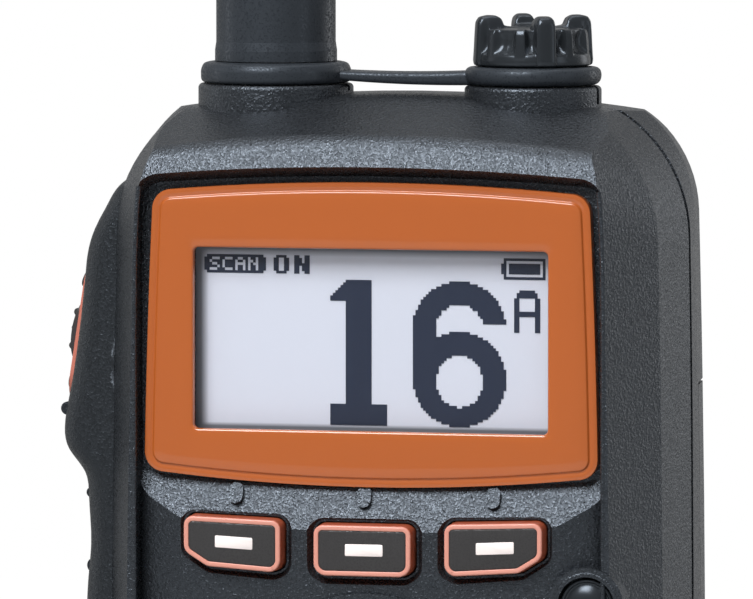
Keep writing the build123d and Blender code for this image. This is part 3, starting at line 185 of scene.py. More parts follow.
# %% Floor
FLOOR_HALF = 0.75
FLOOR_GLOW = 0.75
floor_mesh = bpy.data.meshes.new("floor")
corners = [(-FLOOR_HALF, -FLOOR_HALF, 0), (FLOOR_HALF, -FLOOR_HALF, 0),
           (FLOOR_HALF, FLOOR_HALF, 0), (-FLOOR_HALF, FLOOR_HALF, 0)]
floor_mesh.from_pydata(corners, [], [(0, 1, 2, 3)])
floor = bpy.data.objects.new("floor", floor_mesh)
bpy.context.scene.collection.objects.link(floor)
# matt grey paint: it spreads light evenly and mirrors nothing
floor_paint, tree = new_material("floor_paint")
path = node(tree, "LightPath")
lift = node(tree, "Math", {0: path.outputs["Is Camera Ray"], 1: FLOOR_GLOW}, operation="MULTIPLY")
shader = node(tree, "BsdfPrincipled", {
    "Base Color": linear("#b4b4b3"), "Roughness": 0.7,
    "Emission Color": linear("#ffffff"), "Emission Strength": lift.outputs[0],
})
node(tree, "OutputMaterial", {"Surface": shader.outputs[0]})
floor_mesh.materials.append(floor_paint)
print("floor:", 2 * FLOOR_HALF, "m square")

# %% [markdown]
# Case plastic is PC/ABS moulded in a spark-eroded tool. The tool's craters leave rounded grains
# about a third of a millimetre across, which glitter where the light grazes them. The grains
# could be modelled, but there are some hundred thousand of them, so a noise bends the shading
# instead. The same recipe, with another colour, roughness and grain, serves the other mouldings
# and rubbers.

# %% Recipe of a moulded plastic
GRAIN_MM = 0.3
MOTTLE_MM = 9
COAT_ROUGHNESS = 0.04
GRAIN_MIDDLE = (0.38, 0.62)      # range of the noise in which most of its values lie
GLITTER = (1.7, 0.6)             # roughness in a crater and on the land, as shares of the plain one


def plastic(name, colour, roughness, grain_mm=0.0, grain_depth_mm=0.0, specular=0.5, coat=0.0,
            mottle_share=0.1, sheen_tint="#ffffff", glow=0.0):
    """Moulded plastic: a plain colour, a little mottling, and a grain of rounded craters."""
    material, tree = new_material(name)
    place = node(tree, "TexCoord").outputs["Object"]
    mottle = node(tree, "TexNoise", {"Vector": place, "Scale": 1 / (MOTTLE_MM * MM), "Detail": 3.0})
    tone = node(tree, "MapRange", {"Value": mottle.outputs["Fac"], "To Min": 1 - mottle_share,
                                   "To Max": 1 + mottle_share})
    base = node(tree, "Mix", {0: 1.0, 6: linear(colour), 7: tone.outputs[0]},
                data_type="RGBA", blend_type="MULTIPLY")
    # the sheen tint colours every reflection; where it isn't white it is a painted reflection colour
    shader = node(tree, "BsdfPrincipled", {
        "Base Color": base.outputs[2], "Roughness": roughness, "Specular IOR Level": specular,
        "Specular Tint": linear(sheen_tint), "Coat Weight": coat, "Coat Roughness": COAT_ROUGHNESS,
    })
    if grain_mm:
        grain = node(tree, "TexNoise", {"Vector": place, "Scale": 1 / (grain_mm * MM), "Detail": 2.0,
                                        "Roughness": 0.55})
        bump = node(tree, "Bump", {"Height": grain.outputs["Fac"], "Distance": grain_depth_mm * MM,
                                   "Strength": 1.0})
        tree.links.new(bump.outputs[0], shader.inputs["Normal"])
        # the lands between the craters are smoother than the craters, so the grain glitters
        crater, land = GLITTER
        dull = node(tree, "MapRange", {
            "Value": grain.outputs["Fac"], "From Min": GRAIN_MIDDLE[0], "From Max": GRAIN_MIDDLE[1],
            "To Min": roughness * crater, "To Max": roughness * land})
        tree.links.new(dull.outputs[0], shader.inputs["Roughness"])
    if glow:
        shader.inputs["Emission Color"].default_value = linear(colour)
        shader.inputs["Emission Strength"].default_value = glow
    node(tree, "OutputMaterial", {"Surface": shader.outputs[0]})
    return material


print("grain:", GRAIN_MM, "mm")

# %% [markdown]
# A radio is a mixture of plastics, and each is known by how it takes the light: an eroded tool
# gives a satin that glitters, a polished one a mirror, silicone a soft bloom. One shader with
# other numbers tells them apart, so each line below is one finish, under the name of the
# material slot that it fills.

# %% Plastics and rubbers
COOL_LAMP_REFLECTION = "#cfdcec"           # painted reflection: highlights on the blacks tinted slightly blue, as a cool lamp would give
finishes = {
    # near black, satin, with a deep grain that glitters along every edge
    "case_plastic": plastic("pc_abs_spark_eroded", "#1e2023", 0.26, GRAIN_MM, 0.14, 1.0,
                            sheen_tint=COOL_LAMP_REFLECTION),
    # the same black from a coarser tool: duller, and it takes less of the lamps
    "grip_plastic": plastic("pc_abs_coarse_eroded", "#1e2022", 0.32, GRAIN_MM, 0.12, 0.6,
                            sheen_tint=COOL_LAMP_REFLECTION),
    # thin silicone round the side keys: an even salmon with broad, soft highlights
    "signal_orange": plastic("silicone_salmon", "#cf7a68", 0.38, mottle_share=0.03),
    # ABS from a polished tool: its skin mirrors the lamps sharply over an even burnt orange
    "bezel_orange": plastic("gloss_abs_orange", "#bb6026", 0.3, coat=0.8, mottle_share=0.02),
    # black silicone with a very fine grain: dark grey, almost without highlights
    "key_rubber": plastic("silicone_black", "#343334", 0.5, 0.2, 0.01),
    # polished polycarbonate: small bright highlights on black
    "gloss_black": plastic("polished_pc_black", "#25282b", 0.26, specular=0.7, sheen_tint=COOL_LAMP_REFLECTION),
    # thermoplastic rubber over a wire: smooth, with a long soft highlight
    "antenna_rubber": plastic("tpu_black", "#2c3035", 0.4, 0.25, 0.008, sheen_tint=COOL_LAMP_REFLECTION),
    # nitrile seals, pressed and untreated: dull black
    "seal_rubber": plastic("nitrile_black", "#1c1c1c", 0.6, 0.3, 0.02),
    # glass-filled nylon: matt, with a shallow grain
    "clip_plastic": plastic("nylon_black", "#1b1b1c", 0.5, GRAIN_MM, 0.08),
    # green lacquer over glass cloth: smooth and a little mottled
    "circuit_board": plastic("solder_mask_green", "#1f5a3c", 0.35),
    # white ABS: even and satin, for the plate that spreads the backlight
    "white_plastic": plastic("white_abs", "#e4e0dc", 0.4, mottle_share=0.02),
    # dust cloth and cone of the speaker: black fibres that mirror nothing
    "speaker_paper": plastic("speaker_cloth", "#1f1f21", 0.8, 0.4, 0.1),
}
print("plastics and rubbers:", len(finishes))

# %% [markdown]
# Bare metals are told apart by colour and by how they were worked: plating is smooth, turned
# steel is a little rougher, and copper wire is lacquered. A metal shader takes its reflection
# from its base colour. Scratches could be drawn one by one; on parts this small a noise that
# varies the roughness gives the same broken highlight.

# %% Metals
SCRATCH_MM = 0.15
SCRATCH_SPREAD = (0.7, 1.3)


def metal(name, colour, roughness):
    """Bare metal with fine scratches that vary its roughness."""
    material, tree = new_material(name)
    place = node(tree, "TexCoord").outputs["Object"]
    scratch = node(tree, "TexNoise", {"Vector": place, "Scale": 1 / (SCRATCH_MM * MM), "Detail": 2.0})
    rough = node(tree, "MapRange", {"Value": scratch.outputs["Fac"],
                                    "To Min": roughness * SCRATCH_SPREAD[0],
                                    "To Max": roughness * SCRATCH_SPREAD[1]})
    shader = node(tree, "BsdfPrincipled", {"Base Color": linear(colour), "Metallic": 1.0,
                                           "Roughness": rough.outputs[0]})
    node(tree, "OutputMaterial", {"Surface": shader.outputs[0]})
    return material


finishes.update({
    # nickel over brass, plated: a warm, even mirror
    "nickel_brass": metal("nickel_plate", "#c9c4b8", 0.25),
    # drawn copper under lacquer: reddish, with softened highlights
    "copper_wire": metal("lacquered_copper", "#c0764a", 0.3),
    # gold plating on contacts: yellow and smooth
    "gold_contact": metal("gold_plate", "#e0b860", 0.25),
    # turned stainless steel: neutral grey, a little rougher than plating
    "screw_steel": metal("stainless_steel", "#b4b4b6", 0.3),
    # rolled aluminium foil round the cells: bluish and blurred
    "cell_can": metal("aluminium_foil", "#a8aeb6", 0.4),
})
print("finishes with metals:", len(finishes))

# %% [markdown]
# The window is clear acrylic with a hard coat. A thin flat pane doesn't bend light, so clear and
# glossy shaders are mixed by Fresnel, which renders faster than refraction and has no dark edges.
# Only outer faces mirror: from inside, Fresnel would call slanting light totally reflected.

# %% Window acrylic
ACRYLIC_IOR = 1.4
glass, tree = new_material("hard_coated_acrylic")
clear = node(tree, "BsdfTransparent", {"Color": linear("#ffffff")})
gloss = node(tree, "BsdfGlossy", {"Color": linear("#ffffff"), "Roughness": 0.03})
mirrored = node(tree, "Fresnel", {"IOR": ACRYLIC_IOR})
outside = node(tree, "Math", {0: 1.0, 1: node(tree, "NewGeometry").outputs["Backfacing"]},
               operation="SUBTRACT")
share = node(tree, "Math", {0: mirrored.outputs[0], 1: outside.outputs[0]}, operation="MULTIPLY")
mixed = node(tree, "MixShader", {0: share.outputs[0], 1: clear.outputs[0], 2: gloss.outputs[0]})
node(tree, "OutputMaterial", {"Surface": mixed.outputs[0]})
finishes["clear_lens"] = glass
head_on = ((ACRYLIC_IOR - 1) / (ACRYLIC_IOR + 1)) ** 2
print("the window mirrors", round(100 * head_on, 1), "% head-on")

# %% [markdown]
# The liquid crystal panel is pale lavender and lit from behind, which a lamp behind the panel could
# do. Near the edges of its window its colour is painted darker: painted shade of the bezel's walls,
# widest at the left and at the top. It is a smooth function of the distance to the four edges, read
# from object coordinates, which is simpler than lamps and stays the same in any light.

# %% Display ground
WINDOW_HALF = 20.45
WINDOW_LOW = 100.62
WINDOW_HIGH = 121.15
BACKLIGHT = 0.04
FULL_SHADE = 0.25                # share of a shade's width that is wholly dark
# axis, place of the edge, and the width of the painted shade, negative where it runs down the axis
EDGE_SHADES = [("X", -WINDOW_HALF, 1.2), ("Z", WINDOW_HIGH, -1.05), ("X", WINDOW_HALF, -0.6),
               ("Z", WINDOW_LOW, 0.6)]
lcd_ground, tree = new_material("lcd_reflector_film")
place = node(tree, "SeparateXYZ", {0: node(tree, "TexCoord").outputs["Object"]})
open_share = 1.0
for axis, edge, width in EDGE_SHADES:
    depth = node(tree, "MapRange", {
        "Value": place.outputs[axis], "From Min": (edge + FULL_SHADE * width) * MM,
        "From Max": (edge + width) * MM, "To Min": 0.0, "To Max": 1.0})
    product = node(tree, "Math", {0: depth.outputs[0], 1: open_share}, operation="MULTIPLY")
    open_share = product.outputs[0]
# painted shade: towards the window's edges the ground and its glow darken to this grey
tint = node(tree, "Mix", {0: open_share, 6: linear("#6d7078"), 7: linear("#d5dae8")},
            data_type="RGBA")
shader = node(tree, "BsdfPrincipled", {"Base Color": tint.outputs[2], "Roughness": 0.35,
                                       "Specular IOR Level": 0.3, "Emission Color": tint.outputs[2],
                                       "Emission Strength": BACKLIGHT})
node(tree, "OutputMaterial", {"Surface": shader.outputs[0]})
finishes["lcd_glass"] = lcd_ground
print("window:", 2 * WINDOW_HALF, "by", round(WINDOW_HIGH - WINDOW_LOW, 2), "mm")

# %% [markdown]
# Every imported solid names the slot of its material. Most of them, inside and out, have the right
# shape already, so they keep it and only get their finish.

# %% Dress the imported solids
slots = {part["node"]: part["material_slot"] for part in frame["record"]["subparts"]}
for name, piece in frame["nodes"].items():
    piece.data.materials.clear()
    piece.data.materials.append(finishes[slots[name]])
print("dressed:", len(frame["nodes"]), "solids in", len(set(slots.values())), "finishes")

# %% [markdown]
# New pieces are surfaces worked out with numpy. A surface is a grid of points: each row is a
# closed outline or a line, and neighbouring rows are joined by four-sided faces. Blender wants
# faces to point outwards, so the enclosed volume is measured and a skin that is inside out is
# turned round.


# %% Skins
def outward(points, quads, caps):
    """Turn a closed skin's faces round if its signed volume is negative: the sum of
    a . (b x c) / 6 over its triangles."""
    fans = [np.stack([np.full(len(cap) - 2, cap[0]), cap[1:-1], cap[2:]], -1) for cap in caps]
    triangles = np.vstack([quads[:, [0, 1, 2]], quads[:, [0, 2, 3]]] + fans)
    a, b, c = (points[triangles[:, k]] for k in range(3))
    if np.einsum("ij,ij->i", a, np.cross(b, c)).sum() < 0:
        quads, caps = quads[:, ::-1], [cap[::-1] for cap in caps]
    return points, quads, caps


def skin(points, wrap_rows=False):
    """Closed skin of a grid of points (rows, columns, xyz). Each row closes on itself. Wrapped
    rows join the last to the first; otherwise each end row is closed with one flat face."""
    rows, columns = points.shape[:2]
    index = np.arange(rows * columns).reshape(rows, columns)
    caps = [] if wrap_rows else [index[0, ::-1], index[-1]]
    if wrap_rows:
        index = np.vstack([index, index[:1]])
    index = np.hstack([index, index[:, :1]])
    quads = np.stack([index[:-1, :-1], index[:-1, 1:], index[1:, 1:], index[1:, :-1]], -1)
    return outward(points.reshape(-1, 3), quads.reshape(-1, 4), caps)


unit_box = skin(np.array([[(0, 0, z), (1, 0, z), (1, 1, z), (0, 1, z)] for z in (0, 1)], float))
print("a box's skin has", len(unit_box[1]), "sides and", len(unit_box[2]), "ends")

# %% [markdown]
# A piece is one mesh object. It may hold several skins that overlap, as pressed or moulded parts
# do, and is smooth except where two faces meet at more than its crease angle. It rides on a body,
# so it moves with the joint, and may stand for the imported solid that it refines.


# %% Pieces
def make_piece(name, skins, finish, body="radio", slot=None, stands_for=(), crease=40):
    """One mesh object from skins in millimetres, smooth except at creases, riding on a body."""
    points, faces, start = [], [], 0
    for vertices, quads, caps in skins:
        points.append(vertices)
        faces += (quads + start).tolist() + [(cap + start).tolist() for cap in caps]
        start += len(vertices)
    mesh = bpy.data.meshes.new(name)
    mesh.from_pydata((np.vstack(points) * MM).tolist(), [], faces)
    mesh.polygons.foreach_set("use_smooth", np.ones(len(faces), bool))
    mesh.set_sharp_from_angle(angle=math.radians(crease))
    mesh.materials.append(finish)
    piece = bpy.data.objects.new(name, mesh)
    bpy.context.scene.collection.objects.link(piece)
    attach(piece, body)
    if stands_for:
        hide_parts(*stands_for)
    print(name, len(faces), "faces")
    return piece


print("a piece rides on", make_piece.__defaults__[0], "unless told otherwise")

# %% [markdown]
# Most outlines on this radio are polygons with round corners. The helper below draws one at any
# inset, always with the same number of points, so that outlines at different depths join up. A
# Bevel modifier could round the corners, but it wouldn't keep the count.


# %% Outlines
def rounded_polygon(corners, radius, inset=0.0, bulge=0.0, arc=8, side=6):
    """Anticlockwise polygon with round corners, drawn in by inset. A corner is an arc whose
    radius shrinks by the inset; a side is a parabola that stands out by bulge at its middle."""
    corners = np.asarray(corners, float)
    count = len(corners)
    along = np.roll(corners, -1, 0) - corners
    along /= np.linalg.norm(along, axis=1, keepdims=True)
    after = np.stack([along[:, 1], -along[:, 0]], -1)
    before = np.roll(after, 1, 0)
    mitre = (before + after) / (1 + (before * after).sum(1, keepdims=True))
    bend = np.maximum(np.broadcast_to(radius, count) - inset, 0.03)[:, None]
    centre = corners - (inset + bend) * mitre
    turn = np.arctan2(before[:, 0] * after[:, 1] - before[:, 1] * after[:, 0],
                      (before * after).sum(1))
    angle = np.arctan2(before[:, 1], before[:, 0])[:, None] + turn[:, None] * np.linspace(0, 1, arc)
    arcs = centre[:, None] + bend[..., None] * np.stack([np.cos(angle), np.sin(angle)], -1)
    share = np.linspace(0, 1, side + 2)[1:-1, None]
    start, end = arcs[:, -1:], np.roll(arcs[:, :1], -1, 0)
    swell = 4 * share * (1 - share) * (np.broadcast_to(bulge, count)[:, None] * after)[:, None]
    return np.concatenate([arcs, start * (1 - share) + end * share + swell], 1).reshape(-1, 2)


def facing(outline, y):
    """Outline (x, z) set at depth y, facing the reader."""
    return np.stack([outline[:, 0], np.full(len(outline), y), outline[:, 1]], -1)


print("outline points:", len(rounded_polygon([(0, 0), (4, 0), (4, 3), (0, 3)], 0.5)))

# %% [markdown]
# The display frame is gloss ABS, moulded with a raised bead round its edge, a valley behind the
# bead and a flat face. Its outline is arched at head and foot and closes in towards the head. A
# profile swept along the outline would pinch at the corners, so it is made as one ring of
# outlines, from the back, over the bead and face, down into the window.

# %% Display frame
FRAME_CORNERS = [(-26.25, 95.6), (26.25, 95.6), (25.2, 127.68), (-25.2, 127.68)]
FRAME_BULGE = [1.3, 0.1, 1.0, 0.1]
WINDOW_CORNERS = [(-WINDOW_HALF, WINDOW_LOW), (WINDOW_HALF, WINDOW_LOW),
                  (WINDOW_HALF, WINDOW_HIGH), (-WINDOW_HALF, WINDOW_HIGH)]
FRAME_RADIUS, WINDOW_RADIUS = 2.3, 0.6
FRAME_FACE_Y = -17.62
FRAME_BACK_Y = -16.02
BACK_INSET = 0.3
# (inset, y) from the frame's back over the bead to the face, and from the face into the window
BEAD = [(0.0, -16.05), (0.0, -17.22), (0.02, -17.34), (0.06, -17.4), (0.25, -17.425), (0.45, -17.44),
        (0.68, -17.41), (0.85, -17.36), (0.92, -17.36), (0.98, -17.41), (1.06, -17.52), (1.13, -17.58),
        (1.22, -17.6)]
WELL = [(-0.3, -17.6), (-0.12, -17.56), (-0.02, -17.44), (0.0, -17.3), (0.0, -16.68), (-1.9, -16.68),
        (-1.9, FRAME_BACK_Y)]
FACE_EDGES = (1.4, -0.3)         # insets at which the flat face starts and ends
FACE_STEPS = (0.2, 0.5, 0.8)


def frame_outline(inset):
    """Outline of the display frame, drawn in by inset."""
    return rounded_polygon(FRAME_CORNERS, FRAME_RADIUS, inset, FRAME_BULGE, arc=12, side=24)


def window_outline(inset):
    """Outline of the window, with as many points as the frame's."""
    return rounded_polygon(WINDOW_CORNERS, WINDOW_RADIUS, inset, 0.0, arc=12, side=24)


outer, inner = frame_outline(FACE_EDGES[0]), window_outline(FACE_EDGES[1])
rows = [facing(frame_outline(inset), y) for inset, y in BEAD]
rows += [facing(outer * (1 - step) + inner * step, FRAME_FACE_Y) for step in FACE_STEPS]
rows += [facing(window_outline(inset), y) for inset, y in WELL]
rows += [facing(frame_outline(BACK_INSET), FRAME_BACK_Y)]
make_piece("display_frame", [skin(np.stack(rows), wrap_rows=True)], finishes["bezel_orange"],
           slot="bezel_orange", stands_for=["display_bezel"])

# %% [markdown]
# The display is a dot matrix of 132 by 64 dots, 0.2985 mm apart. Text could be set in a font,
# but a font's smooth curves don't look like dots. So the signs are masks over the grid of dots:
# circles, bars and small letters. The large ones come first: a channel number fills the right
# side, made of bars, and circles of which parts are kept.

# %% Channel number
DOT = 0.2985
DOT_LEFT = -19.74
DOT_TOP = 120.23
DOT_ROWS, DOT_COLUMNS = 64, 132
row, column = np.mgrid[0:DOT_ROWS, 0:DOT_COLUMNS] + 0.5
dots = np.zeros((DOT_ROWS, DOT_COLUMNS), bool)


def block(top, left, height, width):
    """Mask of a block of dots."""
    return (row > top) & (row < top + height) & (column > left) & (column < left + width)


# one: stem, foot and a flag that slants down to the left
dots |= block(9, 55, 55, 10) | block(56, 49, 8, 22)
dots |= block(9, 49, 8, 6) & ((column - 49) + (row - 9) > 6)
# six: a bowl, an arch cut off at the right and a straight left side
u, v = column - 81, row - 9
bowl = np.hypot(u - 18, v - 37) < 18
arch = (np.hypot(u - 18, v - 18) < 18) & (v < 16.4)
dots |= (bowl & (np.hypot((u - 18) / 9, (v - 37.8) / 9.8) > 1)) | block(22, 81, 25, 9)
dots |= arch & (np.hypot(u - 18, v - 18) > 9.2)
dots |= block(25, 81, 10, 9)
print("dots of the number:", int(dots.sum()))

# %% [markdown]
# Small signs stand along the top. They are so few dots high that a picture of each dot is
# clearer than any formula, so the letters are written as rows of ones and zeros.

# %% Small signs
# battery: case, terminal and filling
dots |= (block(0, 116, 8, 16) & ~block(1, 117, 6, 14)) | block(2, 118, 4, 12) | block(2, 115, 4, 1)
# letter beside the number
dots |= (block(15, 120, 13, 2) | block(15, 128, 13, 2) | block(12, 122, 2, 6) | block(13, 121, 2, 8)
         | block(20, 120, 2, 10)) & ~block(15, 122, 5, 6)

SMALL_LETTERS = {
    "S": ["0111", "1000", "0110", "0001", "1110"],
    "C": ["0111", "1000", "1000", "1000", "0111"],
    "A": ["0110", "1001", "1111", "1001", "1001"],
    "N": ["1001", "1101", "1011", "1001", "1001"],
}
TALL_LETTERS = {
    "O": ["011110", "110011", "110011", "110011", "110011", "110011", "011110"],
    "N": ["110011", "111011", "111011", "111111", "110111", "110111", "110011"],
}


def letter(rows_of_dots):
    """Letter as an array of dots."""
    return np.array([[dot == "1" for dot in line] for line in rows_of_dots])


# a dark plate with its four corner dots left out, and the first word cut out of it
plate_corners = block(0, 0, 1, 1) | block(6, 0, 1, 1) | block(0, 23, 1, 1) | block(6, 23, 1, 1)
dots |= block(0, 0, 7, 24) & ~plate_corners
for place_in_word, sign in enumerate("SCAN"):
    left = 2 + 5 * place_in_word
    dots[1:6, left:left + 4] ^= letter(SMALL_LETTERS[sign])
for place_in_word, sign in enumerate("ON"):
    left = 27 + 8 * place_in_word
    dots[0:7, left:left + 6] |= letter(TALL_LETTERS[sign])
print("dark dots:", int(dots.sum()))

# %% [markdown]
# Liquid crystal darkens inside the panel, so a dark dot has no height of its own. A texture would
# need a picture; thin boxes that just break the panel's surface need none. Each run of dark dots
# in a row becomes one box, which keeps the mesh small.

# %% Dark dots
DOTS_FRONT_Y = -15.07
DOTS_BACK_Y = -14.97
edges = np.diff(np.pad(dots, ((0, 0), (1, 1))).astype(int), axis=1)
run_row, run_start = np.nonzero(edges == 1)
run_end = np.nonzero(edges == -1)[1]
runs = len(run_row)
low = np.stack([DOT_LEFT + DOT * run_start, np.full(runs, DOTS_FRONT_Y),
                DOT_TOP - DOT * (run_row + 1)], -1)
high = np.stack([DOT_LEFT + DOT * run_end, np.full(runs, DOTS_BACK_Y), DOT_TOP - DOT * run_row], -1)
pick = np.array([[0, 0, 0], [1, 0, 0], [1, 1, 0], [0, 1, 0],
                 [0, 0, 1], [1, 0, 1], [1, 1, 1], [0, 1, 1]])
box_points = np.where(pick, high[:, None], low[:, None]).reshape(-1, 3)
box_faces = np.array([[0, 3, 2, 1], [4, 5, 6, 7], [0, 1, 5, 4],
                      [1, 2, 6, 5], [2, 3, 7, 6], [3, 0, 4, 7]])
box_quads = (8 * np.arange(runs)[:, None, None] + box_faces).reshape(-1, 4)
# twisted crystal between polarisers takes most of the light: a dark, slightly blue ink
lcd_dark = plastic("lcd_dark_dots", "#1f2a41", 0.4, mottle_share=0.02)
make_piece("display_dots", [outward(box_points, box_quads, [])], lcd_dark, slot="lcd_glass")

# %% [markdown]
# A soft key is one silicone moulding: a salmon rim stands proud all round, with a black printed
# face let into it and a pale bar in the middle. The row of three is arched, and each key's lower
# outer corner is cut off slantwise. The arch could be bent into a straight row with a modifier;
# here it is a slope added to each corner, so that an outline stays exact at any inset.

# %% Outline of a soft key
SOFT_KEY_HALF = (5.6, 2.85)
SOFT_KEY_PITCH = 15.05
SOFT_KEY_SHIFT = -0.33
SOFT_KEY_Z = 87.9
SOFT_KEY_DROP = 0.55
SOFT_KEY_ARCH = (0.035, 0.07)    # slopes of a key's head and foot
CORNER_CUT = (2.7, 1.5)          # how far in and up the slant of the outer corner reaches
INNER_CUT = 0.4                  # share of it at a corner beside another key
CUT_RADIUS, HEAD_RADIUS = 1.4, 1.05


def soft_key_centre(side):
    """Middle of a soft key's face (x, z)."""
    return side * SOFT_KEY_PITCH + SOFT_KEY_SHIFT, SOFT_KEY_Z - (0.0 if side else SOFT_KEY_DROP)


def on_arc(corners, side, rise):
    """Corners of something on a soft key. The row is arched, so the outer keys' heads and feet
    rise away from the middle."""
    corners = np.asarray(corners, float)
    slope = np.where(corners[:, 1] > 0, *rise)
    return corners + np.stack([0 * slope, side * slope * corners[:, 0]], -1) + soft_key_centre(side)


def soft_key_outline(side, inset):
    """Soft key seen from the front, drawn in by inset."""
    half_width, half_height = SOFT_KEY_HALF
    cut_in, cut_up = CORNER_CUT
    left = 1.0 if side < 0 else INNER_CUT
    right = 1.0 if side > 0 else INNER_CUT
    corners = [(-half_width, -half_height + cut_up * left), (-half_width + cut_in * left, -half_height),
               (half_width - cut_in * right, -half_height), (half_width, -half_height + cut_up * right),
               (half_width, half_height), (-half_width, half_height)]
    return rounded_polygon(on_arc(corners, side, SOFT_KEY_ARCH), [CUT_RADIUS] * 4 + [HEAD_RADIUS] * 2,
                           inset)


def relief(outline, profile, face_y):
    """Skin of a low form: the outline at each (inset, depth behind face_y) of a profile."""
    return skin(np.stack([facing(outline(inset), face_y + depth) for inset, depth in profile]))


print("a soft key is", 2 * SOFT_KEY_HALF[0], "by", 2 * SOFT_KEY_HALF[1], "mm")

# %% [markdown]
# Silicone is a little translucent, so light scattered in it makes its thin front edge look paler than
# the thick wall behind it. Subsurface scattering would render that, slowly and with noise. Here the
# scattering is painted light: a colour that deepens with the distance behind the face, which is quick.
# The print on the keys is a white ink with a faint painted glow.

# %% Silicone and print
SOFT_KEY_FACE_Y = -20.0
PALE_TO, DEEP_FROM = 0.04, 0.3   # depths behind the face, in millimetres
rim_silicone, tree = new_material("translucent_silicone")
depth = node(tree, "SeparateXYZ", {0: node(tree, "TexCoord").outputs["Object"]}).outputs["Y"]
behind = node(tree, "MapRange", {"Value": depth, "From Min": (SOFT_KEY_FACE_Y + PALE_TO) * MM,
                                 "From Max": (SOFT_KEY_FACE_Y + DEEP_FROM) * MM})
# painted light: pale at the thin front edge, deep on the wall behind, for light scattered in the
# silicone
paint = node(tree, "Mix", {0: behind.outputs[0], 6: linear("#e39c8b"), 7: linear("#b4593c")},
             data_type="RGBA")
shader = node(tree, "BsdfPrincipled", {"Base Color": paint.outputs[2], "Roughness": 0.3})
node(tree, "OutputMaterial", {"Surface": shader.outputs[0]})
# painted glow: the white print gives off a little light of its own
key_bar_white = plastic("printed_white", "#fdf3f0", 0.45, mottle_share=0.01, glow=0.05)
print("silicone deepens over", round(DEEP_FROM - PALE_TO, 2), "mm")

# %% [markdown]
# Each key is three skins in relief: the rim rolls over from its wall and back down to the face,
# the face lies just under it, and the bar lies on the face. All three ride on the key, so they
# go in when it is pressed.

# %% Soft keys
SOFT_KEYS = {"soft_key_left": -1, "soft_key_middle": 0, "soft_key_right": 1}
RIM = [(-0.12, 3.8), (-0.12, 2.6), (-0.02, 0.6), (0.0, 0.2), (0.05, 0.07), (0.14, 0.01), (0.22, 0.0),
       (0.46, 0.0), (0.54, 0.04), (0.58, 0.2)]
FACE = [(0.57, 0.35), (0.57, 0.14), (0.63, 0.08), (0.8, 0.06)]
BAR = [(0, 0.2), (0, 0.05), (0.04, 0.02)]
BAR_CORNERS = [(-2.17, -0.67), (2.17, -0.67), (2.17, 0.67), (-2.17, 0.67)]
BAR_ARCH = (0.05, 0.05)
BAR_SHIFT = (0.22, 0.1)
BAR_RADIUS = 0.14
for name, side in SOFT_KEYS.items():
    bar_corners = on_arc(BAR_CORNERS, side, BAR_ARCH) + BAR_SHIFT
    rim = relief(lambda inset: soft_key_outline(side, inset), RIM, SOFT_KEY_FACE_Y)
    face = relief(lambda inset: soft_key_outline(side, inset), FACE, SOFT_KEY_FACE_Y)
    bar = relief(lambda inset: rounded_polygon(bar_corners, BAR_RADIUS, inset), BAR, SOFT_KEY_FACE_Y)
    make_piece(name + "_rim", [rim], rim_silicone, name, "signal_orange", [name])
    make_piece(name + "_face", [face], finishes["key_rubber"], name, "key_rubber")
    make_piece(name + "_bar", [bar], key_bar_white, name, "white_plastic")

# %% [markdown]
# The four arrow keys carry printed triangles that point outwards from the middle of the pad. One
# triangle is drawn and turned by a quarter for each key, so that all four stay alike.

# %% Arrow marks
NAV_CENTRE = np.array([0.0, 67.6])
ARROW_OUT = 9.6
ARROW_FACE_Y = -19.9
ARROW = np.array([(-1.25, -0.7), (1.25, -0.7), (0.0, 0.95)])
ARROW_RADIUS = 0.12
PRINT = [(0, 0.2), (0, -0.03), (0.03, -0.05)]
for name, quarters in {"key_up": 0, "key_left": 1, "key_down": 2, "key_right": 3}.items():
    angle = quarters * np.pi / 2
    spin = np.array([[np.cos(angle), np.sin(angle)], [-np.sin(angle), np.cos(angle)]])
    corners = (ARROW + (0, ARROW_OUT)) @ spin + NAV_CENTRE
    arrow = relief(lambda inset: rounded_polygon(corners, ARROW_RADIUS, inset), PRINT, ARROW_FACE_Y)
    make_piece(name + "_mark", [arrow], key_bar_white, name, "white_plastic")

# %% [markdown]
# The power key is a polished dome with a thin raised lip round it, on a stem that reaches its
# switch. It is a turned shape. A Screw modifier could turn a profile; worked out here, the
# profile can be laid on its side in the same step, because the key's axis faces the reader.

# %% Power key
POWER_AT = (25.2, 81.7)
POWER_COLUMNS = 72
POWER_DOME = [(1.4, -13.5), (1.4, -17.3), (3.0, -17.35), (3.0, -18.6), (2.95, -18.8), (2.82, -18.88),
              (2.68, -18.82), (2.55, -18.62), (2.4, -18.6), (2.2, -18.75), (1.8, -18.98),
              (1.2, -19.16), (0.6, -19.25), (0.02, -19.27)]
POWER_FOOT = [(2.0, -13.74), (2.0, -13.02)]


def round_axis(radius, height, turn, centre):
    """Grid of points round an upright axis: (r cos t, r sin t, h)."""
    return np.stack(np.broadcast_arrays(centre[0] + radius * np.cos(turn),
                                        centre[1] + radius * np.sin(turn), height), -1)


def lathe(profile, centre, columns=96, ring=False, lying=False):
    """Solid of revolution for a profile of (r, h). A ring's profile closes on itself; any other
    runs from one end of the axis to the other. A lying one has its axis along Y."""
    profile = np.asarray(profile, float)
    turn = np.linspace(0, 2 * np.pi, columns, endpoint=False)
    points = round_axis(profile[:, :1], profile[:, 1:], turn, centre)
    return skin(points[..., [0, 2, 1]] if lying else points, wrap_rows=ring)


make_piece("power_key_dome", [lathe(part, POWER_AT, POWER_COLUMNS, lying=True)
                              for part in (POWER_DOME, POWER_FOOT)],
           finishes["gloss_black"], "power_key", "gloss_black", ["power_key"])

# %% [markdown]
# The two rails beside the sunk front end in a thin rolled edge, which catches the light as one
# fine line. A curve with a round bevel would give it. Here it is a tube: a small circle carried
# along a path that bends in at the head, at even heights. The power key stands in a ring with
# the same rolled edge.

# %% Rolled edges
EDGE_RADIUS = 0.3
EDGE_STEPS, EDGE_COLUMNS = 160, 16
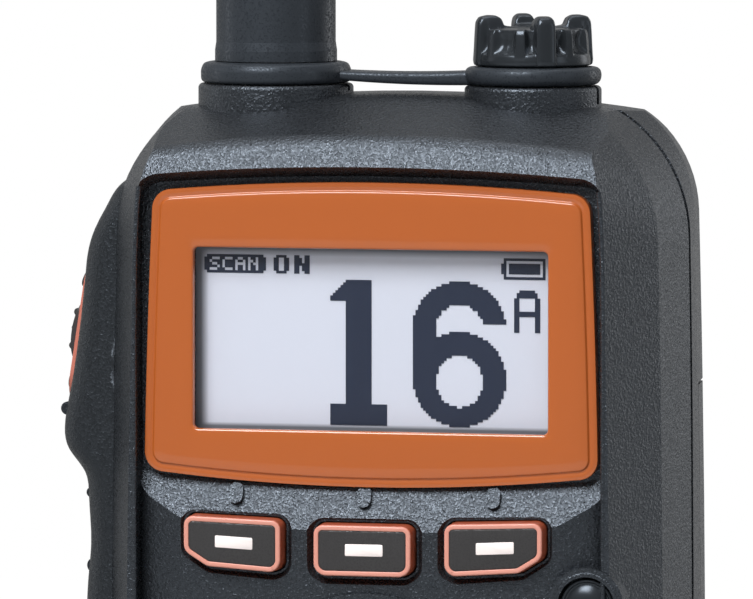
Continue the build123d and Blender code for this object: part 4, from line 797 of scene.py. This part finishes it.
# height, distance from the middle, and depth
RAIL_PATH = np.array([(8.0, 27.05, -18.8), (60.0, 27.05, -18.8), (112.0, 27.05, -18.8),
                      (120.0, 26.95, -18.75), (125.0, 26.75, -18.7), (128.0, 26.5, -18.6)])
RING_PROFILE = [(3.55, -18.6), (3.4, -19.2), (3.45, -19.32), (3.6, -19.36), (3.75, -19.3),
                (3.85, -19.15), (3.9, -18.6)]
path_z, path_x, path_y = RAIL_PATH.T
levels = np.linspace(path_z[0], path_z[-1], EDGE_STEPS)
rail_x = np.interp(levels, path_z, path_x)[:, None]
rail_y = np.interp(levels, path_z, path_y)[:, None]
about = np.linspace(0, 2 * np.pi, EDGE_COLUMNS, endpoint=False)
for side, name in ((-1, "rail_edge_left"), (1, "rail_edge_right")):
    tube = np.stack(np.broadcast_arrays(side * rail_x + EDGE_RADIUS * np.cos(about),
                                        rail_y + EDGE_RADIUS * np.sin(about), levels[:, None]), -1)
    make_piece(name, [skin(tube)], finishes["case_plastic"], slot="case_plastic")
make_piece("power_ring_edge", [lathe(RING_PROFILE, POWER_AT, POWER_COLUMNS, ring=True, lying=True)],
           finishes["case_plastic"], slot="case_plastic")

# %% [markdown]
# The screw cap is polished black plastic with four lugs that stand over its deck and eight
# scoops between them for the fingers. Cutting scoops out of a solid leaves knife edges that a
# mould doesn't have. So three profiles are drawn from the foot to the middle of the deck: one
# through the plain wall, one through a lug, one through a scoop.

# %% Profiles of the screw cap
WALL = [(4.4, 141.25), (6.2, 141.25), (6.5, 141.42), (6.56, 141.9), (6.48, 142.4), (6.43, 143.2),
        (6.38, 144.2), (6.3, 145.0), (6.1, 145.45), (5.6, 145.6), (4.5, 145.6), (4.2, 145.6),
        (3.6, 145.6), (0.02, 145.6)]
LUG = [(4.4, 141.25), (6.4, 141.25), (6.82, 141.4), (6.92, 141.9), (6.88, 142.5), (6.82, 143.5),
       (6.75, 145.0), (6.66, 146.3), (6.3, 146.85), (5.4, 147.05), (4.5, 147.02), (3.9, 146.7),
       (3.65, 145.62), (0.02, 145.6)]
SCOOP = [(4.4, 141.25), (6.2, 141.25), (6.5, 141.42), (6.56, 141.9), (6.46, 142.6), (5.95, 142.9),
         (5.5, 143.6), (5.4, 144.4), (5.55, 145.0), (5.6, 145.45), (4.5, 145.6), (4.2, 145.6),
         (3.6, 145.6), (0.02, 145.6)]
CAP_ROWS, CAP_COLUMNS = 96, 480
ROUNDINGS = 4


def fine(profile):
    """Profile resampled between its numbered points and rounded over a few steps. The last step,
    across the deck, is left straight."""
    steps = np.concatenate([np.linspace(0, len(profile) - 2, CAP_ROWS - 1), [len(profile) - 1]])
    numbers = np.arange(len(profile))
    even = np.stack([np.interp(steps, numbers, part) for part in np.transpose(profile)], -1)
    for _ in range(ROUNDINGS):
        even[1:-1] = (even[:-2] + 2 * even[1:-1] + even[2:]) / 4
    return even[:, None]


wall, lug, scoop = fine(WALL), fine(LUG), fine(SCOOP)
print("cap profiles:", len(wall), "points each")

# %% [markdown]
# Round the axis the wall's profile gives way to a lug's or a scoop's by a smooth weight, one in
# the middle of the lug or scoop and nothing at its edge. Every quarter turn is the same, so the
# weights are a function of the angle from the nearest lug.

# %% Skin of the screw cap
CAP_AT = (15.05, 0.0)
LUG_TURN = math.radians(-64.6)
LUG_HALF = 1.22
LUG_EDGE = (4, 0.5)                     # powers that give a lug a flat middle and steep flanks
SCOOPS = [(16.0, 0.72), (42.0, 1.18)]   # degrees from a lug, half width
SCOOP_RADIUS = 6.4                      # where a scoop's width is measured
SCOOP_EDGE = (2.6, 0.8)                 # the same powers for a scoop, which is rounder


def weight(off, edge):
    """One in the middle, nothing from off = 1 outwards: (1 - |off|^p)^q."""
    p, q = edge
    return np.clip(1 - np.abs(off) ** p, 0, 1) ** q


turn = np.linspace(0, 2 * np.pi, CAP_COLUMNS, endpoint=False)
quarter = (turn - LUG_TURN + np.pi / 4) % (np.pi / 2) - np.pi / 4
from_lug = lug[..., 0] * np.abs(np.sin(quarter)) / LUG_HALF
lug_share = weight(from_lug, LUG_EDGE)[..., None]
scoop_share = np.zeros(CAP_COLUMNS)
for degrees, half in SCOOPS:
    off = SCOOP_RADIUS * np.sin(np.abs(quarter) - math.radians(degrees)) / half
    scoop_share = np.maximum(scoop_share, weight(off, SCOOP_EDGE))
scooped = (1 - lug_share) * scoop_share[None, :, None] * (scoop - wall)
cap_profile = wall + lug_share * (lug - wall) + scooped
cap_points = round_axis(cap_profile[..., 0], cap_profile[..., 1], turn, CAP_AT)
print("cap:", round(2 * cap_profile[..., 0].max(), 2), "mm across its lugs")

# %% [markdown]
# Under the cap is its threaded neck, seen when the cap is screwed out. A thread is a cylinder
# whose radius swings with height and turn together, so that the crest climbs one pitch a turn.
# A helix swept with a tooth profile would be sharper, but at this size its flanks don't show.

# %% Threaded neck
THREAD_PITCH = 1.6
THREAD_DEPTH = 0.24
THREAD_RADIUS = 4.6
GROOVE_RADIUS = 3.95             # groove of the cap's seal
GROOVE_LOW, GROOVE_HIGH = 136.35, 137.55
PLAIN_RADIUS = 4.55
PLAIN_FROM = 140.2
NECK_LOW, NECK_HIGH, NECK_ROWS = 134.4, 141.35, 124
neck_turn = turn[::4]
height = np.linspace(NECK_LOW, NECK_HIGH, NECK_ROWS)[:, None]
swing = 0.5 + 0.5 * np.cos(2 * np.pi * height / THREAD_PITCH - neck_turn)
threaded = np.where(height < PLAIN_FROM, THREAD_RADIUS - THREAD_DEPTH * swing, PLAIN_RADIUS)
groove = (height > GROOVE_LOW) & (height < GROOVE_HIGH)
neck_radius = np.where(groove, GROOVE_RADIUS, threaded)
neck_points = round_axis(neck_radius, height, neck_turn, CAP_AT)
make_piece("screw_cap", [skin(cap_points), skin(neck_points)], finishes["gloss_black"],
           "jack_cap", "gloss_black", ["jack_cap"], crease=50)

# %% [markdown]
# The tether is one rubber moulding: two rings with round shoulders, joined by a flat strap that
# sags a little between them. A ring's profile is drawn with straight runs, and its corners are
# worn round by a moving average, as rubber's are by its mould.

# %% Rings of the tether
ANTENNA_AT = (-15.05, 0.0)
RING_POINTS = 60
RING_SOFTNESS = 0.5
LEFT_RING = [(5.0, 139.1), (8.3, 139.1), (8.6, 139.4), (8.62, 140.6), (8.3, 141.3), (7.6, 141.5),
             (5.0, 141.5), (5.0, 139.1)]
RIGHT_RING = [(5.0, 139.1), (7.1, 139.1), (7.55, 139.35), (7.8, 139.9), (7.78, 140.6), (7.5, 141.05),
              (7.0, 141.17), (5.0, 141.17), (5.0, 139.1)]


def softened(profile, count, width):
    """A polyline resampled at even steps and rounded by a moving average as long as width.
    Its ends stay, because it is carried on past them by odd reflection."""
    profile = np.asarray(profile, float)
    along = np.concatenate([[0], np.cumsum(np.linalg.norm(np.diff(profile, axis=0), axis=1))])
    at = np.linspace(0, along[-1], count)
    even = np.stack([np.interp(at, along, column) for column in profile.T], -1)
    reach = max(1, round(width / along[-1] * count / 2))
    carried = np.pad(even, ((reach, reach), (0, 0)), mode="reflect", reflect_type="odd")
    total = np.cumsum(np.vstack([np.zeros((1, carried.shape[1])), carried]), 0)
    return (total[2 * reach + 1:] - total[:-2 * reach - 1]) / (2 * reach + 1)


rings = [lathe(softened(profile, RING_POINTS, RING_SOFTNESS)[:-1], at, ring=True)
         for profile, at in ((LEFT_RING, ANTENNA_AT), (RIGHT_RING, CAP_AT))]
print("rings:", [len(points) for points, _, _ in rings], "points")

# %% [markdown]
# The strap is a flat section with round edges, carried from one ring to the other. It sags as a
# parabola and grows thicker towards the cap. A cloth simulation isn't needed for rubber this
# short and stiff.

# %% Strap of the tether
STRAP_STEPS = 24
STRAP_LEFT, STRAP_LENGTH = -8.4, 17.2
STRAP_Z = 140.1
STRAP_FALL = 0.25                # how much lower the strap ends at the cap
STRAP_SAG = 0.9                  # four times its sag at the middle
STRAP_SWELL = 0.6                # share by which it is thicker at the cap
STRAP_SECTION = [(-2.8, -0.5), (2.8, -0.5), (2.8, 0.5), (-2.8, 0.5)]
STRAP_RADIUS = 0.4
along = np.linspace(0, 1, STRAP_STEPS)[:, None]
section = rounded_polygon(STRAP_SECTION, STRAP_RADIUS, arc=6, side=2)
strap_z = STRAP_Z - STRAP_FALL * along - STRAP_SAG * along * (1 - along)
strap = np.stack(np.broadcast_arrays(STRAP_LEFT + STRAP_LENGTH * along, section[:, 0],
                                     strap_z + section[:, 1] * (1 + STRAP_SWELL * along)), -1)
make_piece("rubber_tether", rings + [skin(strap)], finishes["antenna_rubber"],
           slot="antenna_rubber", stands_for=["tether_strap"])

# %% [markdown]
# The renderer's Standard view shows colours as they are written.

# %% Colour management
bpy.context.scene.view_settings.view_transform = "Standard"
